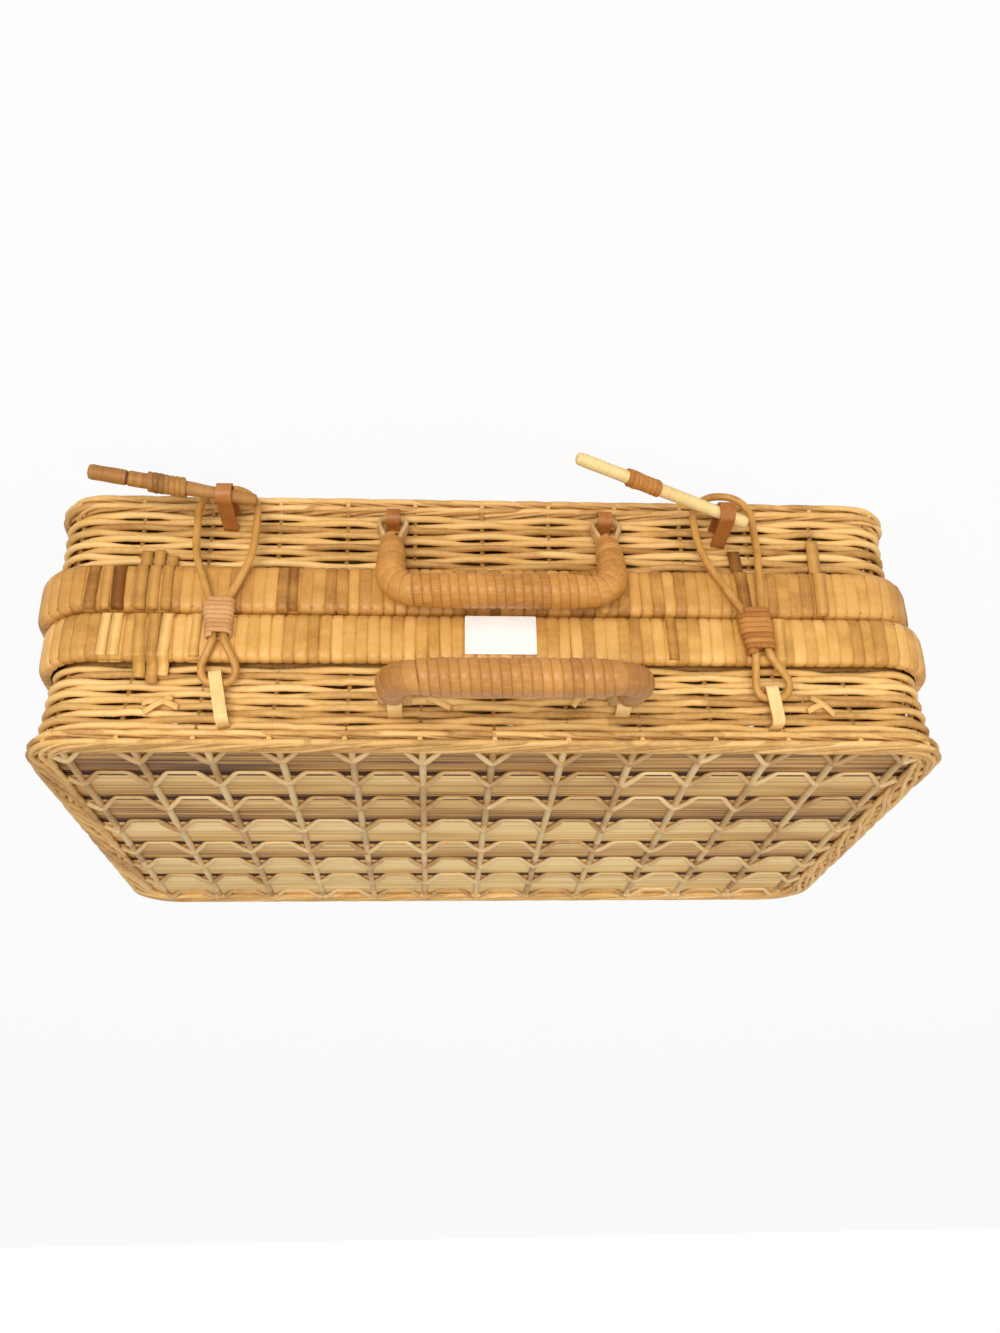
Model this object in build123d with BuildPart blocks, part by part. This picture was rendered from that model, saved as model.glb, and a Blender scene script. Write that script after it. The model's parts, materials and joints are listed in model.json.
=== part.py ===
from build123d import *
from math import atan2, cos, degrees, hypot, pi, radians, sin, sqrt
import os

# A wicker picnic case, lying flat on its base: a woven base and a woven lid, hinged along one long side,
# closed on the other by two cane hasps and two wooden pegs, and carried by two cane handles.
# Millimetres. X runs along the case, Y from the handle side to the hinge side, Z up.
# The origin is the centre of the base's underside.

# The two woven halves
case_width = 438.0
case_depth = 278.0
corner_radius = 26.0
wall = 6.0
base_height = 70.0
lid_height = 68.5
parting_gap = 0.8
lid_side_shift = -4.5
lid_face_flare = 4.0
lid_bottom = base_height + parting_gap
lid_top = lid_bottom + lid_height

# The wrapped rim of each half: an outer and an inner hoop, bound with flat cane
rim_height = 26.0
outer_hoop_thickness = 4.5
inner_hoop_thickness = 4.0
wrap_thickness = 1.2
rim_edge_round = 3.0
bound_clearance = 0.1

# The thick border where each half's wall meets its face
border_height = 8.5
border_width = 13.0
border_proud = 1.5
border_round = 4.0

# The slatted faces
slat_thickness = 2.6
slat_widths = (32.5, 34.0, 35.0, 38.0, 30.0, 32.0, 41.5)
slat_gap = 2.0
slat_tuck = 2.5
slat_clearance = 0.15
slat_edge_round = 0.6
slat_depth_below_border = 3.4
stake_count = 13
stake_pitch = 34.2
stake_width = 3.6
stake_height = 2.8
stake_edge_round = 1.0
twine_diameter = 1.5

# Flat cane straps that pass through the wall
strap_clearance = 0.2
strap_inside_clearance = 0.3
strap_inside_bend = 0.3

# The handles
eye_spacing = 109.0
handle_arm_length = 55.0
handle_corner_radius = 13.0
arm_radius = 7.6
arm_neck_radius = 4.0
arm_neck_start = 17.0
arm_full_start = 27.0
grip_core_radius = 5.6
grip_end_collar = 1.5
grip_wrap_radius = 1.5
grip_wrap_turns = 18
eye_cane_radius = 1.9
eye_half_width = 6.8
eye_bend_radius = 6.2
eye_shoulder = 8.0
eye_neck = 21.0
eye_neck_half_width = 2.2
handle_pivot_out = 4.0
handle_strap_width = 7.0
handle_strap_thickness = 1.2
handle_strap_room = 0.85
base_handle_x = -8.6
base_handle_pivot_height = 14.5
base_handle_lean = 18.0
lid_handle_x = -11.6
lid_handle_pivot_height = lid_bottom + 47.7
lid_handle_lift = 13.0

# The hasps: one bent cane each, pinched by a binding into a small ring and a long loop
hasp_cane_radius = 1.9
hasp_ring_half_width = 8.1
hasp_ring_bend = 6.0
hasp_ring_length = 8.5
hasp_neck_bend = 7.0
hasp_waist_bend = 55.0
hasp_loop_bend = 14.0
hasp_pivot_out = 3.6
hasp_pinch_out = 10.4
hasp_waist_out = 11.4
hasp_end_out = 12.2
hasp_join_gap = 0.6
hasp_binding_wire = 1.0
hasp_binding_turns = 7
winding_seat = 0.15
hasp_strap_width = 6.0
hasp_strap_thickness = 1.2
hasp_strap_room = 0.65
hasp_strap_leg_below = 6.2
hasp_strap_below_border = 1.7
hasp_strap_bend = 2.4

# Each hasp has the x and height of its pivot, then four stations of its two canes as height, x of the middle
# and half the distance between them: the pinch's top and bottom, which go with the lid, and the loop's waist
# and end, which go with the base
left_hasp = dict(
    x=126.9, pivot=lid_bottom + 38.2, strap_x=127.4, strap_lean=12.0, binding_pitch=2.9,
    stations=(
        (lid_bottom + 17.7, 127.5, 2.4), (lid_bottom - 4.3, 128.9, 4.6), (42.0, 128.2, 14.2), (3.9, 128.2, 15.0),
    ),
)
right_hasp = dict(
    x=-139.8, pivot=lid_bottom + 44.4, strap_x=-139.3, strap_lean=5.0, binding_pitch=3.4,
    stations=(
        (lid_bottom + 24.2, -135.3, 3.4), (lid_bottom - 1.3, -132.6, 5.0), (38.0, -124.0, 15.0), (4.1, -122.3, 15.4),
    ),
)

# The pegs: each is given by its tip and its free end as x, distance out from the wall, height
peg_radius = 3.3
peg_end_round = 1.1
peg_binding_wire = 0.9
peg_binding_turns = 7
peg_binding_pitch = 2.6
peg_binding_start = 28.0
left_peg = dict(tip=(113.3, 19.0, 15.0), free=(192.6, 35.0, 10.4), staple_x=128.6)
right_peg = dict(tip=(-134.4, 15.0, 21.8), free=(-43.5, 54.0, 11.4), staple_x=-122.5)
staple_width = 7.5
staple_thickness = 1.3
staple_room = 0.5

# The hinges: a bent cane bow on the base, and a flat strap of the lid round it
hinge_x = (-128.0, 128.0)
hinge_bow_radius = 2.0
hinge_bow_half_width = 12.0
hinge_bow_bend = 5.0
hinge_axis_out = 4.2
hinge_bow_below_rim = 5.0
hinge_bow_tail = 5.0
hinge_bow_hole_clearance = 0.2
hinge_strap_width = 9.0
hinge_strap_thickness = 1.1
hinge_strap_room = 0.35
hinge_strap_above_rim = 3.0
hinge_strap_tail = 7.0

# The paper label on the lid's rim, left bare, and the two small ties on the lid's wall
label_width = 35.0
label_height = 21.0
label_thickness = 0.3
label_x = -8.0
label_above_parting = 1.8
label_gap = 0.05
tie_length = 15.0
tie_width = 5.5
tie_thickness = 1.4
tie_places = ((153.5, lid_bottom + 47.7, 35.0), (-164.8, lid_bottom + 47.0, -40.0))
tie_gap = 0.05

# Places worked out from the sizes above
front = -case_depth / 2
back = case_depth / 2
parting = base_height + parting_gap / 2
rim_proud = outer_hoop_thickness + wrap_thickness + 2 * bound_clearance
rim_inside = inner_hoop_thickness + wrap_thickness + 2 * bound_clearance
hinge_y = back + rim_proud + hinge_axis_out
hinge_z = parting
hinge_bow_root = base_height - rim_height - hinge_bow_below_rim
hasp_strap_top = lid_top - border_height - hasp_strap_below_border

os.makedirs("parts", exist_ok=True)


def keep(piece, name):
    piece.part.label = name
    export_step(piece.part, f"parts/{name}.step")


def outline(centre_x, out, wider=0.0, mode=Mode.ADD):
    """The case's rounded outline, moved out from the woven wall's outer face, and widened at both ends."""
    with Locations((centre_x, 0)):
        RectangleRounded(
            case_width + 2 * out + 2 * wider, case_depth + 2 * out, corner_radius + out, mode=mode
        )


def slab(centre_x, out, low, high, wider=0.0, edge_round=0.0):
    """A solid slab inside an outline, its upper and lower edges rounded."""
    with BuildPart() as piece:
        with BuildSketch(Plane.XY.offset(low)):
            outline(centre_x, out, wider)
        extrude(amount=high - low)
        if edge_round > 0:
            fillet(piece.edges().filter_by(Plane.XY), edge_round)
    return piece.part


def ring(centre_x, outer, inner, low, high, wider=0.0, mode=Mode.ADD):
    """A flat ring between two outlines, from one height to another."""
    with BuildSketch(Plane.XY.offset(low)) as layer:
        outline(centre_x, outer, wider)
        outline(centre_x, inner, wider, mode=Mode.SUBTRACT)
    extrude(layer.sketch, amount=high - low, mode=mode)


def wall_slots(slots, width, thickness, y_face, lean=0.0):
    """Slots through a long wall for straps, each given by its x and height, turned with a strap that leans."""
    with BuildSketch(Plane.XZ.offset(-y_face)) as openings:
        with Locations(*[Location((x, z), lean) for x, z in slots]):
            Rectangle(width + 2 * strap_clearance, thickness + 2 * strap_clearance)
    extrude(openings.sketch, amount=wall + 1, both=True, mode=Mode.SUBTRACT)


# Each half is described by its centre, the height of its parting edge, the height of its face, the way from
# the face into the case (+1 for the base, whose face is below, and -1 for the lid), and how far its two ends
# spread from the rim to the face.
base_half = dict(x=0.0, edge=base_height, face=0.0, inward=1, flare=0.0)
lid_half = dict(x=lid_side_shift, edge=lid_bottom, face=lid_top, inward=-1, flare=lid_face_flare)


def span(half, start, end):
    """Low and high heights of a layer that lies between two depths below the half's face."""
    a = half["face"] + half["inward"] * start
    b = half["face"] + half["inward"] * end
    return min(a, b), max(a, b)


def rim_span(half, start, end):
    """Low and high heights of a layer that lies between two depths back from the half's parting edge."""
    a = half["edge"] - half["inward"] * start
    b = half["edge"] - half["inward"] * end
    return min(a, b), max(a, b)


def border(half):
    low, high = span(half, 0, border_height)
    groove_low, groove_high = span(
        half,
        slat_depth_below_border - slat_clearance,
        slat_depth_below_border + slat_thickness + slat_clearance,
    )
    inner = border_proud - border_width
    with BuildPart() as piece:
        add(slab(half["x"], border_proud, low, high, half["flare"], border_round))
        add(slab(half["x"], inner, low, high, half["flare"]), mode=Mode.SUBTRACT)
        add(
            slab(half["x"], inner + slat_tuck + slat_clearance, groove_low, groove_high, half["flare"]),
            mode=Mode.SUBTRACT,
        )
    return piece


def slat_rows():
    """The centre of each slat across the face, and of each gap between two, from the handle side."""
    total = sum(slat_widths) + slat_gap * (len(slat_widths) - 1)
    edge = -total / 2
    centres = []
    gaps = []
    for width in slat_widths:
        if centres:
            gaps.append(edge - slat_gap / 2)
        centres.append(edge + width / 2)
        edge += width + slat_gap
    return centres, gaps


def face_inner_width(half):
    return case_width + 2 * half["flare"] + 2 * border_proud - 2 * border_width


def face_inner_depth():
    return case_depth + 2 * border_proud - 2 * border_width


def slats(half):
    """Flat slats along the face, side by side; their ends and the outer edges lie in the border's groove."""
    centres, gaps = slat_rows()
    low, high = span(half, slat_depth_below_border, slat_depth_below_border + slat_thickness)
    with BuildPart() as piece:
        with BuildSketch(Plane.XY.offset(low)):
            outline(half["x"], border_proud - border_width + slat_tuck, half["flare"])
            with Locations(*[(half["x"], gap) for gap in gaps]):
                Rectangle(case_width + 2 * half["flare"], slat_gap, mode=Mode.SUBTRACT)
        extrude(amount=high - low)
        along = piece.edges().filter_by(Axis.X)
        fillet([edge for edge in along if abs(edge.center().Y) < face_inner_depth() / 2 - 1], slat_edge_round)
    return piece


def stakes(half):
    """The stakes that cross the slats on the outside, from border to border."""
    low, high = span(half, slat_depth_below_border - stake_height, slat_depth_below_border)
    with BuildPart() as piece:
        with BuildSketch(Plane.XY.offset(low)):
            with Locations((half["x"], 0)):
                with GridLocations(stake_pitch, 0, stake_count, 1):
                    Rectangle(stake_width, case_depth)
            with Locations((half["x"], 0)):
                RectangleRounded(
                    face_inner_width(half),
                    face_inner_depth(),
                    corner_radius + border_proud - border_width,
                    mode=Mode.INTERSECT,
                )
        extrude(amount=high - low)
        outer = piece.edges().filter_by(Axis.Y).group_by(Axis.Z)[0 if half["inward"] > 0 else -1]
        fillet(outer, stake_edge_round)
    return piece


def twining(half):
    """The thin canes that lie in the gaps between the slats."""
    centres, gaps = slat_rows()
    low, high = span(half, slat_depth_below_border, slat_depth_below_border + slat_thickness)
    with BuildPart() as piece:
        with BuildSketch(Plane.YZ.offset(half["x"])):
            with Locations(*[(gap, (low + high) / 2) for gap in gaps]):
                Circle(twine_diameter / 2)
        extrude(amount=face_inner_width(half) / 2 + slat_tuck, both=True)
    return piece


def woven_wall(half):
    """The woven side: a band with the outer shape of the weave, upright in the rim and spreading to the face."""
    low, high = rim_span(half, wrap_thickness + bound_clearance, rim_height)
    face_end = half["face"] + half["inward"] * border_height
    rim_end = high if half["inward"] < 0 else low
    with BuildPart() as piece:
        ring(half["x"], 0, -wall, low, high)
        for out, mode in ((0, Mode.ADD), (-wall, Mode.SUBTRACT)):
            with BuildSketch(Plane.XY.offset(rim_end)) as at_rim:
                outline(half["x"], out)
            with BuildSketch(Plane.XY.offset(face_end)) as at_face:
                outline(half["x"], out, half["flare"])
            loft([at_rim.sketch, at_face.sketch], mode=mode)
    return piece.part


def rim_wrap(half):
    """The flat cane binding: a band round both hoops and the wall's edge, open where the wall enters."""
    low, high = rim_span(half, 0, rim_height)
    inner_low, inner_high = rim_span(half, wrap_thickness, rim_height - wrap_thickness)
    mouth_low, mouth_high = rim_span(half, wrap_thickness, rim_height + 1)
    with BuildPart() as piece:
        add(slab(half["x"], rim_proud, low, high, edge_round=rim_edge_round))
        add(slab(half["x"], -wall - rim_inside, low, high), mode=Mode.SUBTRACT)
        ring(
            half["x"],
            rim_proud - wrap_thickness,
            -wall - rim_inside + wrap_thickness,
            inner_low,
            inner_high,
            mode=Mode.SUBTRACT,
        )
        ring(half["x"], bound_clearance, -wall - bound_clearance, mouth_low, mouth_high, mode=Mode.SUBTRACT)
    return piece


def hoop(half, outer, inner, edge_round=0.0):
    low, high = rim_span(half, wrap_thickness + bound_clearance, rim_height - wrap_thickness - bound_clearance)
    with BuildPart() as piece:
        add(slab(half["x"], outer, low, high, edge_round=edge_round))
        add(slab(half["x"], inner, low, high), mode=Mode.SUBTRACT)
    return piece


def outer_hoop(half):
    return hoop(half, bound_clearance + outer_hoop_thickness, bound_clearance, rim_edge_round - wrap_thickness)


def inner_hoop(half):
    return hoop(half, -wall - bound_clearance, -wall - bound_clearance - inner_hoop_thickness)


def strap_section(middle_y, middle_z, length, height, crown_bend, inside_bend):
    """An upright rectangle seen from the side, its two outer and its two inner corners rounded."""
    with BuildSketch() as section:
        with Locations((middle_y, middle_z)):
            Rectangle(length, height)
        fillet(section.vertices().group_by(Axis.X)[0], crown_bend)
        fillet(section.vertices().group_by(Axis.X)[-1], inside_bend)
    return section.sketch


def strap_plane(x, z, lean):
    """An upright plane across the front wall, turned about the way out of the wall by the strap's lean."""
    turn = radians(lean)
    return Plane(origin=(x, 0, z), x_dir=(0, 1, 0), z_dir=(cos(turn), 0, sin(turn)))


def strap_loop(x, z, below, above, reach, width, thickness, bend, lean=0.0):
    """A flat strap closed round the front wall: outside it stands out by its reach, inside it lies on the wall."""
    length = reach + wall + strap_inside_clearance + 2 * thickness
    height = above + below + thickness
    middle_y = front - reach - thickness + length / 2
    middle_z = (above - below) / 2
    with BuildPart() as piece:
        with BuildSketch(strap_plane(x, z, lean)):
            add(strap_section(middle_y, middle_z, length, height, bend + thickness, strap_inside_bend + thickness))
            add(
                strap_section(
                    middle_y, middle_z, length - 2 * thickness, height - 2 * thickness, bend, strap_inside_bend
                ),
                mode=Mode.SUBTRACT,
            )
        extrude(amount=width / 2, both=True)
    return piece


def rod(start, end, radius):
    """A straight round rod between two points."""
    with BuildSketch(Plane(origin=start, z_dir=end - start)) as section:
        Circle(radius)
    extrude(section.sketch, amount=(end - start).length)


# Windings: one unbroken round wire round one cane, or round two canes side by side. Seen from the end its
# path is a half circle round each cane with straight runs between, and it moves along steadily as it goes.
def winding_stations(spacings, radius, pitch, turns):
    """The stations of the path as position across, out and along, and heading; the canes may spread evenly."""
    first, last = spacings
    halves = 2 * turns
    rise = pitch / (2 * pi * radius + 2 * (first + last))
    quarter = radius * pi / 2
    stations = []
    travelled = 0.0
    for half in range(halves + 1):
        side = 1 if half % 2 == 0 else -1
        spread = first + (last - first) * half / halves
        stations.append(((side * spread, -side * radius, rise * travelled), (side, 0, rise)))
        if half == halves:
            break
        travelled += quarter
        stations.append(((side * (spread + radius), 0, rise * travelled), (0, side, rise)))
        travelled += quarter
        if first > 0:
            stations.append(((side * spread, side * radius, rise * travelled), (-side, 0, rise)))
        travelled += 2 * spread + (last - first) / halves
    return stations


def biarc(start, start_heading, end, end_heading):
    """Two arcs tangent to each other and to the headings at both ends, or a line where the headings agree."""
    gap = end - start
    total = start_heading + end_heading
    square = 2 * (start_heading.dot(end_heading) - 1)
    if abs(square) < 1e-9:
        Line(start, end)
        return
    middle = -2 * gap.dot(total)
    rest = gap.dot(gap)
    reach = (-middle - sqrt(middle * middle - 4 * square * rest)) / (2 * square)
    first = start + start_heading * reach
    second = end - end_heading * reach
    joint = (first + second) * 0.5
    TangentArc(start, joint, tangent=start_heading)
    TangentArc(joint, end, tangent=second - first)


def least_gap(path, turns, wire_radius):
    """The least clear distance between stretches of the wire half a turn or more apart, on measured points."""
    samples = 40
    count = samples * turns
    points = [path @ (step / count) for step in range(count + 1)]
    least = path.length
    for first in range(len(points)):
        for second in range(first + samples // 2, min(len(points), first + 2 * samples)):
            least = min(least, (points[first] - points[second]).length)
    return least - 2 * wire_radius


def winding(name, centre, along, across, out, spacings, radius, pitch, turns, wire_radius):
    places = []
    for (x, y, z), (head_x, head_y, head_z) in winding_stations(spacings, radius, pitch, turns):
        place = centre + across * x + out * y + along * z
        heading = (across * head_x + out * head_y + along * head_z).normalized()
        places.append((place, heading))
    with BuildPart() as piece:
        with BuildLine() as path:
            first, first_heading = places[0]
            Line(first - first_heading * (2 * wire_radius), first)
            for (start, start_heading), (end, end_heading) in zip(places, places[1:]):
                biarc(start, start_heading, end, end_heading)
            last, last_heading = places[-1]
            Line(last, last + last_heading * (2 * wire_radius))
        with BuildSketch(Plane(origin=path.line @ 0, z_dir=path.line % 0)):
            Circle(wire_radius)
        sweep()
    gap = least_gap(path.wires()[0], turns, wire_radius)
    print(name, "turns", turns, "least gap", round(gap, 3), "mm")
    return piece


# The base and the lid
hasps = {"left": left_hasp, "right": right_hasp}
pegs = {"left": left_peg, "right": right_peg}
handle_strap_bend = handle_strap_room + eye_cane_radius + eye_bend_radius - sqrt(
    eye_bend_radius**2 - max(0.0, handle_strap_width / 2 - (eye_half_width - eye_bend_radius)) ** 2
)
handle_strap_reach = handle_pivot_out + handle_strap_bend
handle_strap_leg = handle_strap_bend + handle_strap_thickness / 2


def peg_point(peg, x):
    """Distance out from the wall and height of a peg's centre line where it passes an x."""
    tip, free = peg["tip"], peg["free"]
    share = (x - tip[0]) / (free[0] - tip[0])
    return tip[1] + share * (free[1] - tip[1]), tip[2] + share * (free[2] - tip[2])


def peg_slope(peg):
    """How far the peg's side moves out and up along half the staple's width."""
    tip, free = peg["tip"], peg["free"]
    return abs(free[1] - tip[1]) / abs(free[0] - tip[0]), abs(free[2] - tip[2]) / abs(free[0] - tip[0])


def staple_shape(peg):
    """Height of the staple's middle, its half opening and its reach out from the wall."""
    out, height = peg_point(peg, peg["staple_x"])
    slope_out, slope_up = peg_slope(peg)
    half_open = peg_radius * hypot(1, slope_up) + slope_up * staple_width / 2 + staple_room
    reach = out + peg_radius * hypot(1, slope_out) + slope_out * staple_width / 2 + staple_room
    return height, half_open, reach


def hasp_strap_leg_above(hasp):
    return (hasp_strap_top - hasp["pivot"]) / cos(radians(hasp["strap_lean"]))


base_eyes = [base_handle_x - eye_spacing / 2, base_handle_x + eye_spacing / 2]
lid_eyes = [lid_handle_x - eye_spacing / 2, lid_handle_x + eye_spacing / 2]

with BuildPart() as base_wall:
    add(woven_wall(base_half))
    wall_slots(
        [(x, base_handle_pivot_height + side * handle_strap_leg) for x in base_eyes for side in (-1, 1)],
        handle_strap_width,
        handle_strap_thickness,
        front,
    )
    for peg in pegs.values():
        height, half_open, reach = staple_shape(peg)
        leg = half_open + staple_thickness / 2
        wall_slots(
            [(peg["staple_x"], height + side * leg) for side in (-1, 1)],
            staple_width,
            staple_thickness,
            front,
        )
    with BuildSketch(Plane.XZ.offset(-back)):
        with Locations(*[(x + side * hinge_bow_half_width, hinge_bow_root) for x in hinge_x for side in (-1, 1)]):
            Circle(hinge_bow_radius + hinge_bow_hole_clearance)
    extrude(amount=wall + 1, both=True, mode=Mode.SUBTRACT)
keep(base_wall, "base_wall")

with BuildPart() as lid_wall:
    add(woven_wall(lid_half))
    wall_slots(
        [(x, lid_handle_pivot_height + side * handle_strap_leg) for x in lid_eyes for side in (-1, 1)],
        handle_strap_width,
        handle_strap_thickness,
        front,
    )
    for hasp in hasps.values():
        turn = radians(hasp["strap_lean"])
        wall_slots(
            [
                (hasp["strap_x"] - sin(turn) * leg, hasp["pivot"] + cos(turn) * leg)
                for leg in (-hasp_strap_leg_below, hasp_strap_leg_above(hasp))
            ],
            hasp_strap_width,
            hasp_strap_thickness,
            front,
            hasp["strap_lean"],
        )
    hinge_strap_height = lid_bottom + rim_height + hinge_strap_above_rim
    wall_slots(
        [(x, hinge_strap_height) for x in hinge_x],
        hinge_strap_width,
        2 * hinge_strap_thickness,
        back,
    )
keep(lid_wall, "lid_wall")

for half_name, half in (("base", base_half), ("lid", lid_half)):
    keep(border(half), f"{half_name}_border")
    keep(slats(half), f"{half_name}_slats")
    keep(stakes(half), f"{half_name}_stakes")
    keep(twining(half), f"{half_name}_twining")
    keep(rim_wrap(half), f"{half_name}_rim_wrap")
    keep(outer_hoop(half), f"{half_name}_outer_hoop")
    keep(inner_hoop(half), f"{half_name}_inner_hoop")


# The handles
def handle_plane(x, pivot_height, direction):
    """A plane with its origin midway between the eyes' pivots, x along the case and y along the arms."""
    arm = Vector(0, *direction)
    return Plane(
        origin=(x, front - handle_pivot_out, pivot_height),
        x_dir=(1, 0, 0),
        z_dir=Vector(1, 0, 0).cross(arm),
    )


def handle_core(plane):
    """Eye loops, wrapped arms and corners, and the thinner core under the grip's binding."""
    half = eye_spacing / 2
    straight = half - handle_corner_radius
    grip_half = straight - grip_end_collar
    with BuildPart() as piece:
        with BuildLine(plane) as frame:
            FilletPolyline(
                (-half, arm_full_start),
                (-half, handle_arm_length),
                (half, handle_arm_length),
                (half, arm_full_start),
                radius=handle_corner_radius,
            )
        with BuildSketch(Plane(origin=frame.line @ 0, z_dir=frame.line % 0)):
            Circle(arm_radius)
        sweep()
        for side in (-1, 1):
            neck = plane.from_local_coords((side * half, arm_neck_start, 0))
            full = plane.from_local_coords((side * half, arm_full_start, 0))
            axis = Plane(origin=neck, z_dir=full - neck)
            with BuildSketch(axis):
                Circle(arm_neck_radius)
            with BuildSketch(axis.offset((full - neck).length)):
                Circle(arm_radius)
            loft()
            with BuildLine(plane) as eye:
                FilletPolyline(
                    (side * half - eye_neck_half_width, eye_neck),
                    (side * half - eye_half_width, eye_shoulder),
                    (side * half - eye_half_width, 0),
                    (side * half + eye_half_width, 0),
                    (side * half + eye_half_width, eye_shoulder),
                    (side * half + eye_neck_half_width, eye_neck),
                    radius=[eye_bend_radius, eye_bend_radius, eye_bend_radius, eye_bend_radius],
                )
            with BuildSketch(Plane(origin=eye.line @ 0, z_dir=eye.line % 0)):
                Circle(eye_cane_radius)
            sweep()
        grip_start = plane.from_local_coords((-grip_half, handle_arm_length, 0))
        grip_plane = Plane(origin=grip_start, z_dir=(1, 0, 0))
        with BuildSketch(grip_plane):
            Circle(arm_radius + 1)
            Circle(grip_core_radius, mode=Mode.SUBTRACT)
        extrude(amount=2 * grip_half, mode=Mode.SUBTRACT)
    return piece


def handle_wrap(name, plane):
    """The cane wound round the grip."""
    straight = eye_spacing / 2 - handle_corner_radius - grip_end_collar
    room = 2 * straight - 2 * (grip_wrap_radius + winding_seat)
    pitch = room / (grip_wrap_turns + 0.5)
    radius = grip_core_radius + winding_seat + grip_wrap_radius
    start = plane.from_local_coords((-pitch * grip_wrap_turns / 2, handle_arm_length, 0))
    return winding(
        name, start, Vector(1, 0, 0), plane.y_dir, plane.z_dir, (0, 0), radius, pitch, grip_wrap_turns,
        grip_wrap_radius,
    )


base_lean = radians(base_handle_lean)
lid_lift = radians(lid_handle_lift)
base_handle_plane = handle_plane(base_handle_x, base_handle_pivot_height, (-sin(base_lean), cos(base_lean)))
lid_handle_plane = handle_plane(lid_handle_x, lid_handle_pivot_height, (-cos(lid_lift), sin(lid_lift)))

keep(handle_core(base_handle_plane), "base_handle")
keep(handle_core(lid_handle_plane), "lid_handle")
keep(handle_wrap("base_handle_wrap", base_handle_plane), "base_handle_wrap")
keep(handle_wrap("lid_handle_wrap", lid_handle_plane), "lid_handle_wrap")

for half_name, eyes, height in (
    ("base", base_eyes, base_handle_pivot_height),
    ("lid", lid_eyes, lid_handle_pivot_height),
):
    for side_name, x in zip(("right", "left"), eyes):
        strap = strap_loop(
            x,
            height,
            handle_strap_leg,
            handle_strap_leg,
            handle_strap_reach,
            handle_strap_width,
            handle_strap_thickness,
            handle_strap_bend - bound_clearance,
        )
        keep(strap, f"{half_name}_handle_strap_{side_name}")


# The hasps
def hasp_side(hasp, side):
    """The corners of one side of the hasp's cane, from the ring at the pivot to the loop's end."""
    top, bottom, waist, end = hasp["stations"]
    ring_share = hasp_ring_length / (hasp["pivot"] - top[0])
    ring_out = hasp_pivot_out + (hasp_pinch_out - hasp_pivot_out) * ring_share
    ring_x = hasp["x"] + side * hasp_ring_half_width
    corners = [
        (ring_x, front - hasp_pivot_out, hasp["pivot"]),
        (ring_x, front - ring_out, hasp["pivot"] - hasp_ring_length),
    ]
    outs = (hasp_pinch_out, hasp_pinch_out, hasp_waist_out, hasp_end_out)
    for (z, middle, half), out in zip(hasp["stations"], outs):
        corners.append((middle + side * half, front - out, z))
    return corners


def hasp_cane(hasp):
    """One cane bent into a small ring and a long loop; its two ends meet inside the binding."""
    left, right = hasp_side(hasp, 1), hasp_side(hasp, -1)
    pinch_top, pinch_bottom = Vector(*right[2]), Vector(*right[3])
    join = (pinch_top + pinch_bottom) * 0.5
    gap = (pinch_top - pinch_bottom).normalized() * (hasp_join_gap / 2)
    ring_bends = [hasp_neck_bend, hasp_neck_bend, hasp_ring_bend]
    loop_bends = [hasp_neck_bend, hasp_waist_bend, hasp_loop_bend]
    with BuildPart() as piece:
        with BuildLine() as path:
            FilletPolyline(
                join + gap, *right[2::-1], *left, *right[:2:-1], join - gap,
                radius=ring_bends + ring_bends[::-1] + loop_bends + loop_bends[::-1],
            )
        with BuildSketch(Plane(origin=path.line @ 0, z_dir=path.line % 0)):
            Circle(hasp_cane_radius)
        sweep()
    return piece


def hasp_binding(name, hasp):
    """The binding's turns lie between the pinch's ends and widen with the two canes."""
    top, bottom = hasp["stations"][:2]
    upper = Vector(top[1], front - hasp_pinch_out, top[0])
    lower = Vector(bottom[1], front - hasp_pinch_out, bottom[0])
    along = (lower - upper).normalized()
    length = hasp["binding_pitch"] * hasp_binding_turns
    margin = ((lower - upper).length - length) / 2
    share = margin / (lower - upper).length
    spread = bottom[2] - top[2]
    return winding(
        name, upper + along * margin, along, along.cross(Vector(0, 1, 0)), Vector(0, -1, 0),
        (top[2] + spread * share, bottom[2] - spread * share),
        hasp_cane_radius + winding_seat + hasp_binding_wire, hasp["binding_pitch"], hasp_binding_turns,
        hasp_binding_wire,
    )


for side_name, hasp in hasps.items():
    keep(hasp_cane(hasp), f"hasp_{side_name}")
    keep(hasp_binding(f"hasp_{side_name}_binding", hasp), f"hasp_{side_name}_binding")
    strap = strap_loop(
        hasp["strap_x"],
        hasp["pivot"],
        hasp_strap_leg_below,
        hasp_strap_leg_above(hasp),
        hasp_pivot_out + hasp_cane_radius + hasp_strap_room,
        hasp_strap_width,
        hasp_strap_thickness,
        hasp_strap_bend,
        hasp["strap_lean"],
    )
    keep(strap, f"lid_staple_{side_name}")


# The pegs and the staples they pass through
def peg_ends(peg):
    return [Vector(x, front - out, z) for x, out, z in (peg["tip"], peg["free"])]


def peg_stick(peg):
    tip, free = peg_ends(peg)
    with BuildPart() as piece:
        rod(tip, free, peg_radius)
        fillet(piece.edges().filter_by(GeomType.CIRCLE), peg_end_round)
    return piece


def peg_binding(name, peg):
    tip, free = peg_ends(peg)
    along = (tip - free).normalized()
    across = along.cross(Vector(0, 0, 1)).normalized()
    radius = peg_radius + winding_seat + peg_binding_wire
    return winding(
        name, free + along * peg_binding_start, along, across, along.cross(across), (0, 0), radius,
        peg_binding_pitch, peg_binding_turns, peg_binding_wire,
    )


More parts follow.
